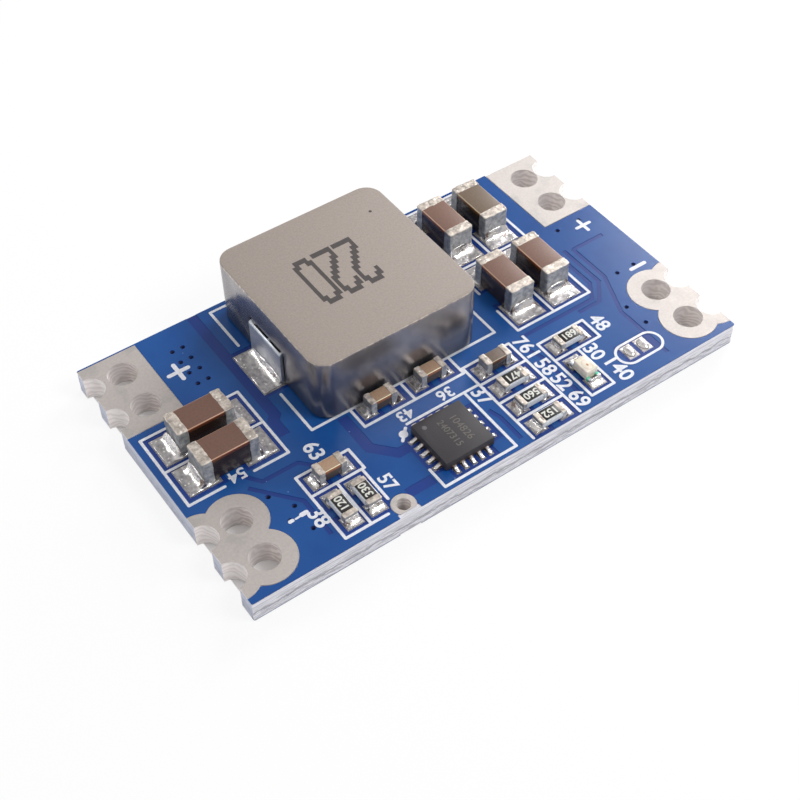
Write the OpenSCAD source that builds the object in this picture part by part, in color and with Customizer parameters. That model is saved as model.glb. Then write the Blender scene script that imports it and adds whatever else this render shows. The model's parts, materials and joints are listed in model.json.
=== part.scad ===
// Step-down (buck) converter module: a small two-layer board with a moulded
// power inductor, six large and four small ceramic capacitors, six chip
// resistors, an indicator light and a switching controller. Four tinned
// terminals at its corners have plated holes and half-holes on the board's edge.
// The input end faces -X, the output end +X, and the plus side +Y.
// The origin is the centre of the underside, on the face the module rests on.

/* [Board] */
// Length of the board, from the input end to the output end
board_l = 30.2; // [30:0.1:36]
// Width of the board
board_w = 17.5; // [17.4:0.1:22]
// Thickness of the board with its solder mask
board_t = 1.4; // [0.8:0.1:2]
// Radius of the board's corners
board_corner_r = 0.1; // [0.1:0.05:0.8]
// Thickness of the solder mask with the copper under it
mask_t = 0.05; // [0.04:0.01:0.1]
// Depth of the dips in the mask where the copper has a gap
dip_depth = 0.02; // [0.01:0.005:0.03]
// Width of the gaps in the copper
dip_w = 0.24; // [0.15:0.01:0.35]
// Width of the gaps between the large areas of copper
wide_dip_w = 0.6; // [0.3:0.05:0.8]
// Width of the gap in the copper round each land
land_moat = 0.2; // [0.1:0.01:0.25]

/* [Terminals] */
// Diameter of a finished terminal hole
hole_d = 1.6; // [1.2:0.05:1.8]
// Distance between the two holes of one terminal
hole_pitch = 2.54; // [2.3:0.01:2.8]
// Thickness of the metal in plated holes
plating_t = 0.05; // [0.03:0.01:0.1]
// How far the tinned pads stand above the mask
tin_proud = 0.02; // [0.01:0.01:0.04]
// Distance from the input edge to its terminal holes
in_inset = 1.87; // [1.7:0.01:2]
// Distance from the output edge to its terminal holes
out_inset = 1.65; // [1.6:0.01:1.9]
// Length of a plus pad, measured from the end of the board
plus_pad_l = 3.35; // [3:0.05:3.6]
// Width of a plus pad
plus_pad_w = 5.5; // [5:0.05:5.6]
// Radius of a minus pad round its holes
minus_ring_r = 1.58; // [1.4:0.01:1.7]
// Radius of a minus pad round its half-holes
minus_edge_r = 1.5; // [1.3:0.01:1.6]
// Diameter of the small plated hole for the enable wire
enable_d = 0.72; // [0.5:0.01:0.8]
// Width of the metal ring round the enable hole
enable_ring_w = 0.27; // [0.15:0.01:0.3]
// Diameter of a finished via
via_d = 0.26; // [0.2:0.01:0.3]

/* [Inductor] */
// Side length of the inductor's square core
core_w = 10; // [9:0.1:10.4]
// Height of the inductor above its solder
inductor_h = 4; // [3:0.1:5]
// Radius of the core's upright corners
core_corner_r = 1; // [0.5:0.05:1.6]
// Radius of the core's top and bottom edges
core_edge_r = 0.14; // [0.05:0.01:0.25]
// Width of the inductor's lead strips
lead_w = 3; // [2.4:0.1:3.2]
// Thickness of the lead strips
lead_t = 0.2; // [0.15:0.01:0.25]
// Height at which a lead comes out of the core
lead_exit_h = 2.2; // [1.8:0.05:2.5]
// Length of the foot that is folded under the core
lead_foot = 2.2; // [1.5:0.1:2.6]
// Gap between a lead strip and the sides of its recess
lead_gap = 0.15; // [0.1:0.01:0.2]

/* [Large capacitors] */
// Length of a large capacitor over its end caps
big_cap_l = 3.2; // [3:0.05:3.35]
// Width of a large capacitor
big_cap_w = 1.6; // [1.4:0.05:1.8]
// Height of a large capacitor
big_cap_h = 1.6; // [1.2:0.05:1.8]
// Length of an end cap on a large capacitor
big_cap_end = 0.55; // [0.4:0.05:0.7]

/* [Small chips] */
// Length of a small capacitor, a resistor and the indicator light
chip_l = 1.6; // [1.5:0.05:1.7]
// Width of a small capacitor, a resistor and the indicator light
chip_w = 0.8; // [0.7:0.05:0.9]
// Height of a small capacitor
small_cap_h = 0.8; // [0.6:0.05:0.9]
// Length of an end cap on a small capacitor
small_cap_end = 0.35; // [0.25:0.05:0.45]
// Height of a resistor
resistor_h = 0.45; // [0.35:0.01:0.6]
// Length of a resistor's end terminals on its top
resistor_end = 0.3; // [0.2:0.01:0.4]
// Height of the indicator light's base
led_base_h = 0.22; // [0.15:0.01:0.3]
// Height of the indicator light with its lens
led_h = 0.6; // [0.5:0.01:0.8]

/* [Controller] */
// Side length of the controller's square package
package_w = 3; // [2.8:0.05:3.1]
// Height of the package above its solder
package_h = 0.56; // [0.5:0.01:0.9]
// Leads on each side of the package
leads_per_side = 5; // [3:1:5]
// Distance between neighbouring leads
lead_pitch = 0.5; // [0.45:0.01:0.52]
// Width of a lead
pin_w = 0.24; // [0.2:0.01:0.26]
// Length of a lead on the package's underside
pin_l = 0.33; // [0.28:0.01:0.36]
// Thickness of the lead frame
pin_t = 0.15; // [0.1:0.01:0.2]
// Side length of the bare metal pad under the package
heat_pad_w = 1.65; // [1.2:0.05:1.75]

/* [Solder and legend] */
// Thickness of the copper lands
land_t = 0.04; // [0.03:0.01:0.04]
// Thickness of the solder between a land and the part on it
bed_t = 0.03; // [0.03:0.01:0.06]
// Gap between a land or pad and the edge of the solder mask
mask_gap = 0.03; // [0.02:0.01:0.06]
// Width of the printed lines
legend_w = 0.16; // [0.12:0.01:0.2]
// Thickness of the printed lines
legend_t = 0.015; // [0.01:0.005:0.02]

/* [Hidden] */
$fn = 48;

// Colours of the materials
laminate_colour = [0.72, 0.75, 0.68];
mask_colour = [0.11, 0.3, 0.58];
legend_colour = [0.93, 0.94, 0.96];
tin_colour = [0.78, 0.77, 0.75];
solder_colour = [0.72, 0.73, 0.74];
core_colour = [0.6, 0.57, 0.54];
package_colour = [0.2, 0.2, 0.2];
big_cap_colour = [0.42, 0.3, 0.24];
small_cap_colour = [0.68, 0.53, 0.41];
grey_cap_colour = [0.42, 0.37, 0.33];
alumina_colour = [0.88, 0.89, 0.9];
coat_colour = [0.08, 0.08, 0.09];
led_base_colour = [0.35, 0.6, 0.42];
lens_colour = [0.93, 0.9, 0.78];

// Heights above the underside
z_core_bottom = tin_proud + mask_t;
z_core_top = tin_proud + board_t - mask_t;
z_top = tin_proud + board_t;
z_bed = z_core_top + land_t;
z_seat = z_bed + bed_t;
core_t = z_core_top - z_core_bottom;

// How far two solids reach into each other before they become one
overlap = 0.01;
// How far a cut runs past the face that it opens
cut = 0.5;

// Edges of the board
x_out = board_l / 2;
x_in = -x_out;
y_back = board_w / 2;
y_front = -y_back;

// Layout grid: the board is 302 steps long and 175 steps wide, counted from its
// middle, so that places keep their pattern on a board of another size
step_x = board_l / 302;
step_y = board_w / 175;

// Terminals: the middle of each pair of holes, from the board's long edges
plus_edge_gap = 2.85;
minus_edge_gap = 3.15;
plus_y = y_back - plus_edge_gap;
minus_y = y_front + minus_edge_gap;
hole_r = hole_d / 2;
drill_r = hole_r + plating_t;
in_hole_x = x_in + in_inset;
out_hole_x = x_out - out_inset;

// Lands: how far each reaches past the end of its chip and under it
big_land_out = 0.92;
big_land_in = 0.85;
big_land_w = big_cap_w + 0.3;
small_land_out = 0.42;
small_land_in = 0.38;
small_land_w = chip_w + 0.15;
big_half_l = big_cap_l / 2 + big_land_out;
big_half_w = big_land_w / 2;
small_half_l = chip_l / 2 + small_land_out;
small_half_w = small_land_w / 2;

// Inductor, near the back edge
inductor_edge_gap = 0.5;
inductor_x = -17.2 * step_x;
inductor_y = y_back - inductor_edge_gap - core_w / 2;
core_clear = 0.08;
core_h = inductor_h - core_clear;
recess_depth = lead_t + 0.1;
lead_bend_r = lead_t + 0.1;
lead_root = 0.8;
lead_slot_w = 0.7;
lead_slot_h = 0.45;
recess_top_gap = 0.1;
lead_land_out = 1.25;
lead_land_in = 0.2;
lead_fillet_share = 0.6;
lead_fillet_run = 0.7;
lead_fillet_rise = 0.75;
lead_land_w = lead_w + 0.2;

// Large capacitors: two across the input and four across the output
metal_t = 0.04;
big_edge_r = 0.14;
small_edge_r = 0.08;
in_cap_x = -118 * step_x;
in_cap_y = 2.5 * step_y;
in_cap_pitch = 23 * step_y;
out_cap_x = 78.3 * step_x;
out_cap_pitch = 2.45;
out_cap_end_gap = 0.41;
out_cap_back_y = y_back - 2.85;
out_cap_front_y = out_cap_back_y - 2 * big_half_l - out_cap_end_gap;
big_caps = [
    [in_cap_x, in_cap_y + in_cap_pitch / 2, 0],
    [in_cap_x, in_cap_y - in_cap_pitch / 2, 0],
    [out_cap_x - out_cap_pitch / 2, out_cap_back_y, 90],
    [out_cap_x + out_cap_pitch / 2, out_cap_back_y, 90],
    [out_cap_x - out_cap_pitch / 2, out_cap_front_y, 90],
    [out_cap_x + out_cap_pitch / 2, out_cap_front_y, 90],
];

// Small chips: the column right of the controller has one common spacing
column_x = 28.7 * step_x;
column_pitch = 14.9 * step_y;
column_first_y = -80.3 * step_y;
under_inductor_gap = 0.13;
row_y = inductor_y - core_w / 2 - under_inductor_gap - chip_w / 2;
small_caps = [
    [-80.7 * step_x, -45.2 * step_y, 0],
    [-35 * step_x, row_y, 0],
    [-3.7 * step_x, row_y, 0],
    [column_x, column_first_y + 3 * column_pitch, 0],
];
feedback_y = -66.8 * step_y;
feedback_x = -80.9 * step_x;
feedback_pitch = 1.38;
resistors = [
    [feedback_x - feedback_pitch / 2, feedback_y, 90],
    [feedback_x + feedback_pitch / 2, feedback_y, 90],
    [column_x, column_first_y + 2 * column_pitch, 0],
    [column_x, column_first_y + column_pitch, 0],
    [column_x, column_first_y, 0],
    [70.8 * step_x, -44.6 * step_y, 0],
];
led = [63.8 * step_x, -66.5 * step_y, 90];

// Enable hole, beside the second feedback resistor and close to the front edge
enable_r = enable_d / 2;
enable_pad_r = enable_r + enable_ring_w;
enable_gap = 0.075;
enable_flat = 0.25;
enable_x = feedback_x + feedback_pitch / 2 + small_half_w + enable_gap + enable_pad_r;
enable_y = y_front + 0.6;

// Resistor coat and lens
coat_t = metal_t + 0.02;
lens_l = chip_l - 0.5;
lens_slope = 0.08;
led_end = 0.3;

// Controller, near the front edge
package_x = -19 * step_x;
package_y = -62.7 * step_y;
pin_land_out = 0.42;
pin_heel = 0.3;
pin_heel_rise = 0.18;
pin_one_r = 0.13;
pin_one_depth = 0.02;
pin_one_inset = 0.5;

// Solder fillets: how far each reaches over its land, and its height as a share of
// the part's own height
big_fillet_run = 0.6;
big_fillet_rise = 0.38;
small_fillet_run = 0.3;
small_fillet_rise = 0.5;
resistor_fillet_rise = 0.7;
bed_edge = 0.05;

// Jumper pads, open or closed with solder
jumper_x = 96.7 * step_x;
jumper_y = -69.5 * step_y;
jumper_pitch = 0.93;
jumper_l = 0.66;
jumper_w = 0.92;
jumper_dome = 0.12;

// Vias: a block beside the input plus pad and singles near the terminals, in grid steps
via_r = via_d / 2;
via_plating = 0.04;
via_columns = [-103.5, -97.3];
via_rows = [70.5, 61.5, 52.5, 43.5];
via_singles = [
    [-112.8, -40], [-105.3, -51.8], [-111.5, -58], [-105, -68],
    [121.5, 25], [137.2, 25], [126.2, -21], [138, -21], [112.7, -44], [113.5, -58.5],
];

// Legend: gaps between lands and the printed frames round them
frame_gap = 0.3;
small_frame_end_gap = 0.34;
small_frame_side_gap = 0.24;
row_frame_gap = 0.34;
column_front_gap = 0.6;
indicator_end_gap = 0.24;

// Legend: the inductor's frame lies at these distances from its core, and stops
// short of the lands
inductor_frame_left = 0.56;
inductor_frame_right = 1.02;
inductor_frame_front = 0.03;
inductor_frame_back = 0.12;
inductor_frame_stop = 0.45;

// Legend: the controller's frame, and the mark beside its first lead
controller_frame_gap = 0.62;
controller_left_part = 1.3;
controller_top_start = 0.95;
mark_x = 0.3;
mark_y = 0.4;
mark_r = 0.22;
tail_l = 0.8;

// Legend: the rounded frame of the jumper
jumper_frame_l = 1.35;
jumper_frame_w = 0.55;
sign_stroke = 0.25;
input_sign_w = 1.35;
output_sign_w = 1.15;

// Unit vector, and the vector a quarter turn to its left
function unit(v) = v / norm(v);
function left_of(v) = [-v[1], v[0]];

// Direction in which the edge of a strip lies from point i of its line, with the
// length that keeps the strip's width through a bend
function bend(p, i) =
    i == 0 ? left_of(unit(p[1] - p[0]))
    : i == len(p) - 1 ? left_of(unit(p[i] - p[i - 1]))
    : let (
        a = left_of(unit(p[i] - p[i - 1])),
        b = left_of(unit(p[i + 1] - p[i])),
        m = unit(a + b)
    ) m / (m * a);

// Outline of a strip of width w along the line through the points p
function strip(p, w) = concat(
    [for (i = [0:len(p) - 1]) p[i] + bend(p, i) * w / 2],
    [for (i = [len(p) - 1:-1:0]) p[i] - bend(p, i) * w / 2]
);

// Place on the board of a point given in grid steps
function on_grid(p) = [p[0] * step_x, p[1] * step_y];

// Rectangle with round corners, centred on the origin
module rounded_rect(l, w, r) {
    square([l - 2 * r, w], center = true);
    square([l, w - 2 * r], center = true);
    for (x = [-1, 1], y = [-1, 1]) {
        translate([x * (l / 2 - r), y * (w / 2 - r)]) circle(r);
    }
}

// Rectangle given by the places of its edges
module area(x0, x1, y0, y1) {
    translate([x0, y0]) square([x1 - x0, y1 - y0]);
}

// Block with all its edges rounded, standing on the origin
module soft_block(l, w, h, r) {
    intersection() {
        linear_extrude(h) rounded_rect(l, w, r);
        translate([0, w / 2, h / 2]) rotate([90, 0, 0]) linear_extrude(w) rounded_rect(l, h, r);
        translate([-l / 2, 0, h / 2]) rotate([90, 0, 90]) linear_extrude(l) rounded_rect(w, h, r);
    }
}

// Places a chip: its middle, its turn and the height it sits at
module at(place, z = 0) {
    translate([place[0], place[1], z]) rotate([0, 0, place[2]]) children();
}

// ---------- Board ----------

module board_outline() {
    rounded_rect(board_l, board_w, board_corner_r);
}

// Middles of the two holes of a pair, as offsets along Y
function pair(y) = [y - hole_pitch / 2, y + hole_pitch / 2];

// Both holes of a terminal and the half-holes on the board's edge
module terminal_holes(hole_x, edge_x, y, r) {
    for (hole_y = pair(y)) {
        translate([hole_x, hole_y]) circle(r);
        translate([edge_x, hole_y]) circle(r);
    }
}

module all_terminal_holes(r) {
    terminal_holes(in_hole_x, x_in, plus_y, r);
    terminal_holes(in_hole_x, x_in, minus_y, r);
    terminal_holes(out_hole_x, x_out, plus_y, r);
    terminal_holes(out_hole_x, x_out, minus_y, r);
}

// A plus terminal's pad: a rectangle that reaches the end of the board
module plus_pad(edge_x, grow = 0) {
    inner_x = edge_x - sign(edge_x) * (plus_pad_l + grow);
    area(min(edge_x, inner_x), max(edge_x, inner_x),
        plus_y - plus_pad_w / 2 - grow, plus_y + plus_pad_w / 2 + grow);
}

// A minus terminal's pad: overlapping discs round its holes and half-holes, with
// the space between the four filled
module minus_pad(hole_x, edge_x, grow = 0) {
    for (hole_y = pair(minus_y)) {
        translate([hole_x, hole_y]) circle(minus_ring_r + grow);
        translate([edge_x, hole_y]) circle(minus_edge_r + grow);
    }
    area(min(hole_x, edge_x), max(hole_x, edge_x), pair(minus_y)[0], pair(minus_y)[1]);
}

module via_places() {
    block = [for (x = via_columns, y = via_rows) [x, y]];
    for (place = concat(block, via_singles)) {
        translate(on_grid(place)) children();
    }
}

module pcb_laminate() {
    color(laminate_colour)
        translate([0, 0, z_core_bottom])
            linear_extrude(core_t)
                difference() {
                    board_outline();
                    all_terminal_holes(drill_r);
                    translate([enable_x, enable_y]) circle(enable_r + plating_t);
                    via_places() circle(via_r + via_plating);
                }
}

// Openings that both masks share
module shared_openings() {
    all_terminal_holes(drill_r);
    plus_pad(x_in, mask_gap);
    plus_pad(x_out, mask_gap);
    minus_pad(in_hole_x, x_in, mask_gap);
    minus_pad(out_hole_x, x_out, mask_gap);
    translate([enable_x, enable_y]) circle(enable_pad_r + mask_gap);
    area(enable_x - enable_pad_r, enable_x + enable_pad_r, y_front - cut, enable_y - enable_r);
    via_places() circle(via_r);
}

// Gaps in the top copper, which show through the mask as shallow dips. Their lines
// are given in grid steps.
module copper_gaps() {
    // Between the input copper and the switching copper under the inductor
    dip([[-82.5, 95], [-82.5, 2], [-85.5, -1], [-85.5, -12]], wide_dip_w);
    dip([[-118, -20], [-110, -30.5], [-90, -30.5], [-84, -37]]);
    // Round the ground copper on the input side
    dip([[-56, -19], [-56, -43.5], [-46, -54.5], [-40.5, -54.5]], wide_dip_w);
    dip([[-118, -30], [-100, -52], [-100, -76]]);
    dip([[-57, -77.5], [-41.5, -77.5]], wide_dip_w);
    // Three lines side by side round the output capacitors
    dip([[108.5, 10], [108.5, -18], [101.5, -28.5], [52, -28.5]]);
    dip([[113.5, 10], [113.5, -20], [103.5, -32], [89, -32]]);
    dip([[118.5, 7.8], [118.5, -19], [108, -44.5], [108, -81.5]]);
    dip([[118.5, 7.8], [140, 7.8]]);
    // Signal lines beside the column of chips
    dip([[7, -58.5], [9, -65.5], [9, -82.5]]);
    dip([[49, -36.5], [52, -45.5], [52, -81.5]]);
}

module dip(line, w = dip_w) {
    polygon(strip([for (p = line) on_grid(p)], w));
}

module solder_mask_top() {
    color(mask_colour)
        difference() {
            translate([0, 0, z_core_top])
                linear_extrude(mask_t)
                    difference() {
                        board_outline();
                        shared_openings();
                        // The output plus pad is bare to the back edge
                        area(x_out - plus_pad_l - mask_gap, x_out, plus_y, y_back);
                        lands(mask_gap);
                    }
            translate([0, 0, z_top - dip_depth])
                linear_extrude(cut) {
                    copper_gaps();
                    lands(mask_gap + land_moat);
                }
        }
}

module solder_mask_bottom() {
    color(mask_colour)
        translate([0, 0, tin_proud])
            linear_extrude(mask_t)
                difference() {
                    board_outline();
                    shared_openings();
                }
}

// One terminal: pads on both faces, joined by the metal in its holes and half-holes
module terminal(hole_x, edge_x, y) {
    plate_t = mask_t + tin_proud;
    for (z = [0, z_core_top]) {
        translate([0, 0, z])
            linear_extrude(plate_t)
                difference() {
                    intersection() {
                        children();
                        board_outline();
                    }
                    terminal_holes(hole_x, edge_x, y, hole_r);
                }
    }
    translate([0, 0, z_core_bottom - overlap])
        linear_extrude(core_t + 2 * overlap)
            intersection() {
                difference() {
                    terminal_holes(hole_x, edge_x, y, drill_r);
                    terminal_holes(hole_x, edge_x, y, hole_r);
                }
                board_outline();
            }
}

module input_plus_terminal() {
    color(tin_colour) terminal(in_hole_x, x_in, plus_y) plus_pad(x_in);
}

module input_minus_terminal() {
    color(tin_colour) terminal(in_hole_x, x_in, minus_y) minus_pad(in_hole_x, x_in);
}

module output_plus_terminal() {
    color(tin_colour) terminal(out_hole_x, x_out, plus_y) plus_pad(x_out);
}

module output_minus_terminal() {
    color(tin_colour) terminal(out_hole_x, x_out, minus_y) minus_pad(out_hole_x, x_out);
}

// The enable hole's rings are cut straight on the side of the board's edge
module enable_hole_plating() {
    color(tin_colour)
        translate([enable_x, enable_y, 0])
            difference() {
                union() {
                    for (z = [tin_proud, z_core_top]) {
                        translate([0, 0, z])
                            linear_extrude(mask_t)
                                intersection() {
                                    circle(enable_pad_r);
                                    area(-enable_pad_r, enable_pad_r,
                                        y_front - enable_y + enable_flat, enable_pad_r);
                                }
                    }
                    translate([0, 0, z_core_bottom - overlap])
                        cylinder(h = core_t + 2 * overlap, r = enable_r + plating_t);
                }
                translate([0, 0, -cut]) cylinder(h = z_top + 2 * cut, r = enable_r);
            }
}

module via_barrels() {
    color(tin_colour)
        translate([0, 0, z_core_bottom])
            via_places()
                difference() {
                    cylinder(h = core_t, r = via_r + via_plating);
                    translate([0, 0, -cut]) cylinder(h = core_t + 2 * cut, r = via_r);
                }
}

// ---------- Lands and solder ----------

// The two lands of a chip, seen from above
module chip_lands(half_l, out, in, w, grow) {
    for (side = [-1, 1]) {
        translate([side * (half_l + (out - in) / 2), 0])
            square([out + in + 2 * grow, w + 2 * grow], center = true);
    }
}

// Runs its children once for each lead, with the lead's outer end towards -X
module pin_places() {
    for (turn = [0:90:270], i = [0:leads_per_side - 1]) {
        rotate([0, 0, turn])
            translate([-package_w / 2, (i - (leads_per_side - 1) / 2) * lead_pitch])
                children();
    }
}

module controller_lands(grow) {
    translate([package_x, package_y]) {
        square([heat_pad_w + 2 * grow, heat_pad_w + 2 * grow], center = true);
        pin_places() area(-pin_land_out - grow, pin_l + grow, -pin_w / 2 - grow, pin_w / 2 + grow);
    }
}

module inductor_lands(grow) {
    length = lead_land_out + lead_foot + lead_land_in;
    for (side = [-1, 1]) {
        translate([inductor_x + side * (core_w / 2 + lead_land_out - length / 2), inductor_y])
            square([length + 2 * grow, lead_land_w + 2 * grow], center = true);
    }
}

module jumper_lands(grow) {
    for (side = [-1, 1]) {
        translate([jumper_x + side * jumper_pitch / 2, jumper_y])
            square([jumper_l + 2 * grow, jumper_w + 2 * grow], center = true);
    }
}

// Every land for a surface-mounted part, seen from above
module lands(grow = 0) {
    for (place = big_caps) {
        at(place) chip_lands(big_cap_l / 2, big_land_out, big_land_in, big_land_w, grow);
    }
    for (place = concat(small_caps, resistors, [led])) {
        at(place) chip_lands(chip_l / 2, small_land_out, small_land_in, small_land_w, grow);
    }
    controller_lands(grow);
    inductor_lands(grow);
    jumper_lands(grow);
}

module component_lands() {
    color(tin_colour) translate([0, 0, z_core_top]) linear_extrude(land_t) lands();
}

// Section through a fillet: against the part at x = 0, with a hollow face down to
// its toe, whose arc stays flatter than the corner that it fills
module fillet_section(run, rise) {
    toe = 0.03;
    top = [toe, rise];
    low = [run, toe];
    chord = norm(top - low);
    slope = atan2(rise - toe, run - toe);
    hollow_angle = 0.8 * min(slope, 90 - slope);
    centre = (top + low) / 2 + unit([rise - toe, run - toe]) * chord / 2 / tan(hollow_angle);
    difference() {
        polygon([[0, 0], [run, 0], low, top, [0, rise]]);
        translate(centre) circle(norm(centre - top));
    }
}

// Solder on both lands of a chip: a thin bed, and a fillet against the chip's end
module chip_solder(half_l, out, in, w, run, rise) {
    bed_l = out + in - 2 * bed_edge;
    bed_w = w - 2 * bed_edge;
    for (side = [0, 1]) {
        mirror([side, 0, 0]) {
            translate([half_l + (out - in) / 2, 0, z_bed + bed_t / 2])
                cube([bed_l, bed_w, bed_t], center = true);
            translate([half_l, bed_w / 2, z_seat])
                rotate([90, 0, 0])
                    linear_extrude(bed_w)
                        fillet_section(run, rise);
        }
    }
}

// Solder of one controller lead: the bed under it and a small heel outside the package
module pin_solder() {
    translate([-pin_land_out, -pin_w / 2, z_bed]) cube([pin_land_out + pin_l, pin_w, bed_t]);
    translate([0, pin_w / 2, z_seat])
        mirror([1, 0, 0])
            rotate([90, 0, 0])
                linear_extrude(pin_w)
                    fillet_section(pin_heel, pin_heel_rise);
}

module controller_solder() {
    translate([package_x, package_y, 0]) {
        pin_places() pin_solder();
        translate([0, 0, z_bed + bed_t / 2]) cube([heat_pad_w, heat_pad_w, bed_t], center = true);
    }
}

// Low dome of solder over a rectangular pad
module solder_dome(l, w, h) {
    r_l = (l * l / 4 + h * h) / (2 * h);
    r_w = (w * w / 4 + h * h) / (2 * h);
    intersection() {
        translate([0, w / 2, h - r_l]) rotate([90, 0, 0]) cylinder(h = w, r = r_l);
        translate([-l / 2, 0, h - r_w]) rotate([0, 90, 0]) cylinder(h = l, r = r_w);
        translate([-l / 2, -w / 2, 0]) cube([l, w, h]);
    }
}

module inductor_solder() {
    bed_l = lead_land_out + lead_foot - 2 * bed_edge;
    fillet_w = lead_w * lead_fillet_share;
    for (side = [0, 1]) {
        translate([inductor_x, inductor_y, 0])
            mirror([side, 0, 0]) {
                translate([core_w / 2 + lead_land_out - bed_edge - bed_l / 2, 0, z_bed + bed_t / 2])
                    cube([bed_l, lead_w, bed_t], center = true);
                translate([core_w / 2, fillet_w / 2, z_seat])
                    rotate([90, 0, 0])
                        linear_extrude(fillet_w)
                            fillet_section(lead_fillet_run, lead_fillet_rise);
            }
    }
}

module small_chip_solder(place, rise) {
    at(place)
        chip_solder(chip_l / 2, small_land_out, small_land_in, small_land_w, small_fillet_run, rise);
}

module solder_joints() {
    color(solder_colour) {
        for (place = big_caps) {
            at(place)
                chip_solder(big_cap_l / 2, big_land_out, big_land_in, big_land_w,
                    big_fillet_run, big_fillet_rise * big_cap_h);
        }
        for (place = small_caps) {
            small_chip_solder(place, small_fillet_rise * small_cap_h);
        }
        for (place = resistors) {
            small_chip_solder(place, resistor_fillet_rise * resistor_h);
        }
        small_chip_solder(led, led_base_h);
        controller_solder();
        inductor_solder();
        for (side = [-1, 1]) {
            translate([jumper_x + side * jumper_pitch / 2, jumper_y, z_bed])
                solder_dome(jumper_l, jumper_w, jumper_dome);
        }
    }
}

// ---------- Inductor ----------

// The core's form before its recesses are cut: two crossing slabs with rounded
// edges, and a turned quarter at each upright corner
module core_form() {
    flat = core_w - 2 * core_corner_r;
    for (turn = [0, 90]) {
        rotate([90, 0, turn])
            translate([0, core_h / 2, -flat / 2])
                linear_extrude(flat)
                    rounded_rect(core_w, core_h, core_edge_r);
    }
    for (turn = [0:90:270]) {
        rotate([0, 0, turn])
            translate([flat / 2, flat / 2, 0])
                rotate_extrude(angle = 90)
                    intersection() {
                        translate([0, core_h / 2]) rounded_rect(2 * core_corner_r, core_h, core_edge_r);
                        area(0, core_corner_r, 0, core_h);
                    }
    }
}

// Recess on one side, for the lead strip and the foot folded under the core
module lead_recess() {
    w = lead_w + 2 * lead_gap;
    translate([core_w / 2 - recess_depth, -w / 2, -cut])
        cube([recess_depth + cut, w, cut + lead_exit_h + recess_top_gap]);
    translate([core_w / 2 - lead_foot - lead_gap, -w / 2, -cut])
        cube([lead_foot + lead_gap, w, cut + lead_t]);
}

// Section through a lead strip, from its root in the core to the end of its foot
module lead_section() {
    x_bend = core_w / 2 - lead_bend_r;
    area(core_w / 2 - lead_root, x_bend, lead_exit_h - lead_t, lead_exit_h);
    area(core_w / 2 - lead_t, core_w / 2, lead_bend_r, lead_exit_h - lead_bend_r);
    area(core_w / 2 - lead_foot, x_bend, 0, lead_t);
    for (up = [0, 1]) {
        translate([x_bend, up == 1 ? lead_exit_h - lead_bend_r : lead_bend_r])
            mirror([0, 1 - up])
                intersection() {
                    difference() {
                        circle(lead_bend_r);
                        circle(lead_bend_r - lead_t);
                    }
                    square(lead_bend_r);
                }
    }
}

// One lead, with a slot through its upper bend
module lead_strip() {
    difference() {
        translate([0, lead_w / 2, 0]) rotate([90, 0, 0]) linear_extrude(lead_w) lead_section();
        translate([core_w / 2 - recess_depth, -lead_slot_w / 2, lead_exit_h - lead_slot_h])
            cube([recess_depth + cut, lead_slot_w, lead_slot_h + cut]);
    }
}

module on_inductor(side) {
    translate([inductor_x, inductor_y, z_seat]) mirror([side, 0, 0]) children();
}

module inductor_core() {
    color(core_colour)
        difference() {
            translate([inductor_x, inductor_y, z_seat + core_clear]) core_form();
            for (side = [0, 1]) {
                on_inductor(side) {
                    lead_recess();
                    translate([core_w / 2 - lead_root, -lead_w / 2, lead_exit_h - lead_t])
                        cube([lead_root, lead_w, lead_t]);
                }
            }
        }
}

module inductor_lead(side) {
    color(tin_colour) on_inductor(side) lead_strip();
}

// ---------- Controller ----------

module lead_frame() {
    pin_places() translate([0, -pin_w / 2, 0]) cube([pin_l, pin_w, pin_t]);
    translate([-heat_pad_w / 2, -heat_pad_w / 2, 0]) cube([heat_pad_w, heat_pad_w, pin_t]);
}

module controller_package() {
    color(package_colour)
        translate([package_x, package_y, z_seat])
            difference() {
                translate([-package_w / 2, -package_w / 2, 0]) cube([package_w, package_w, package_h]);
                lead_frame();
                // Round dimple that marks the first lead
                translate([pin_one_inset - package_w / 2, package_w / 2 - pin_one_inset, 0])
                    translate([0, 0, package_h - pin_one_depth]) cylinder(h = cut, r = pin_one_r);
            }
}

module controller_leads() {
    color(tin_colour) translate([package_x, package_y, z_seat]) lead_frame();
}

// ---------- Chips ----------

// End terminals folded round a plate's ends: over the top, the end and the underside
module folded_ends(l, w, h, end_l) {
    for (side = [0, 1]) {
        mirror([side, 0, 0])
            translate([0, w / 2, 0])
                rotate([90, 0, 0])
                    linear_extrude(w)
                        difference() {
                            area(l / 2 - end_l, l / 2, 0, h);
                            area(0, l / 2 - metal_t, metal_t, h - metal_t);
                        }
    }
}

// Ceramic block of a capacitor, without its end caps
module ceramic(l, w, h, edge_r) {
    translate([0, 0, metal_t])
        soft_block(l - 2 * metal_t, w - 2 * metal_t, h - 2 * metal_t, edge_r - metal_t / 2);
}

// Metal caps over both ends of a capacitor's block
module end_caps(l, w, h, end_l, edge_r) {
    difference() {
        soft_block(l, w, h, edge_r);
        translate([end_l - l / 2, -w, -cut]) cube([l - 2 * end_l, 2 * w, h + 2 * cut]);
        ceramic(l, w, h, edge_r);
    }
}

module big_capacitor(i) {
    color(big_cap_colour) at(big_caps[i], z_seat) ceramic(big_cap_l, big_cap_w, big_cap_h, big_edge_r);
}

module big_capacitor_ends(i) {
    color(solder_colour)
        at(big_caps[i], z_seat) end_caps(big_cap_l, big_cap_w, big_cap_h, big_cap_end, big_edge_r);
}

// The last small capacitor is of a greyer ceramic
module small_capacitor(i) {
    color(i == len(small_caps) - 1 ? grey_cap_colour : small_cap_colour)
        at(small_caps[i], z_seat) ceramic(chip_l, chip_w, small_cap_h, small_edge_r);
}

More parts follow.
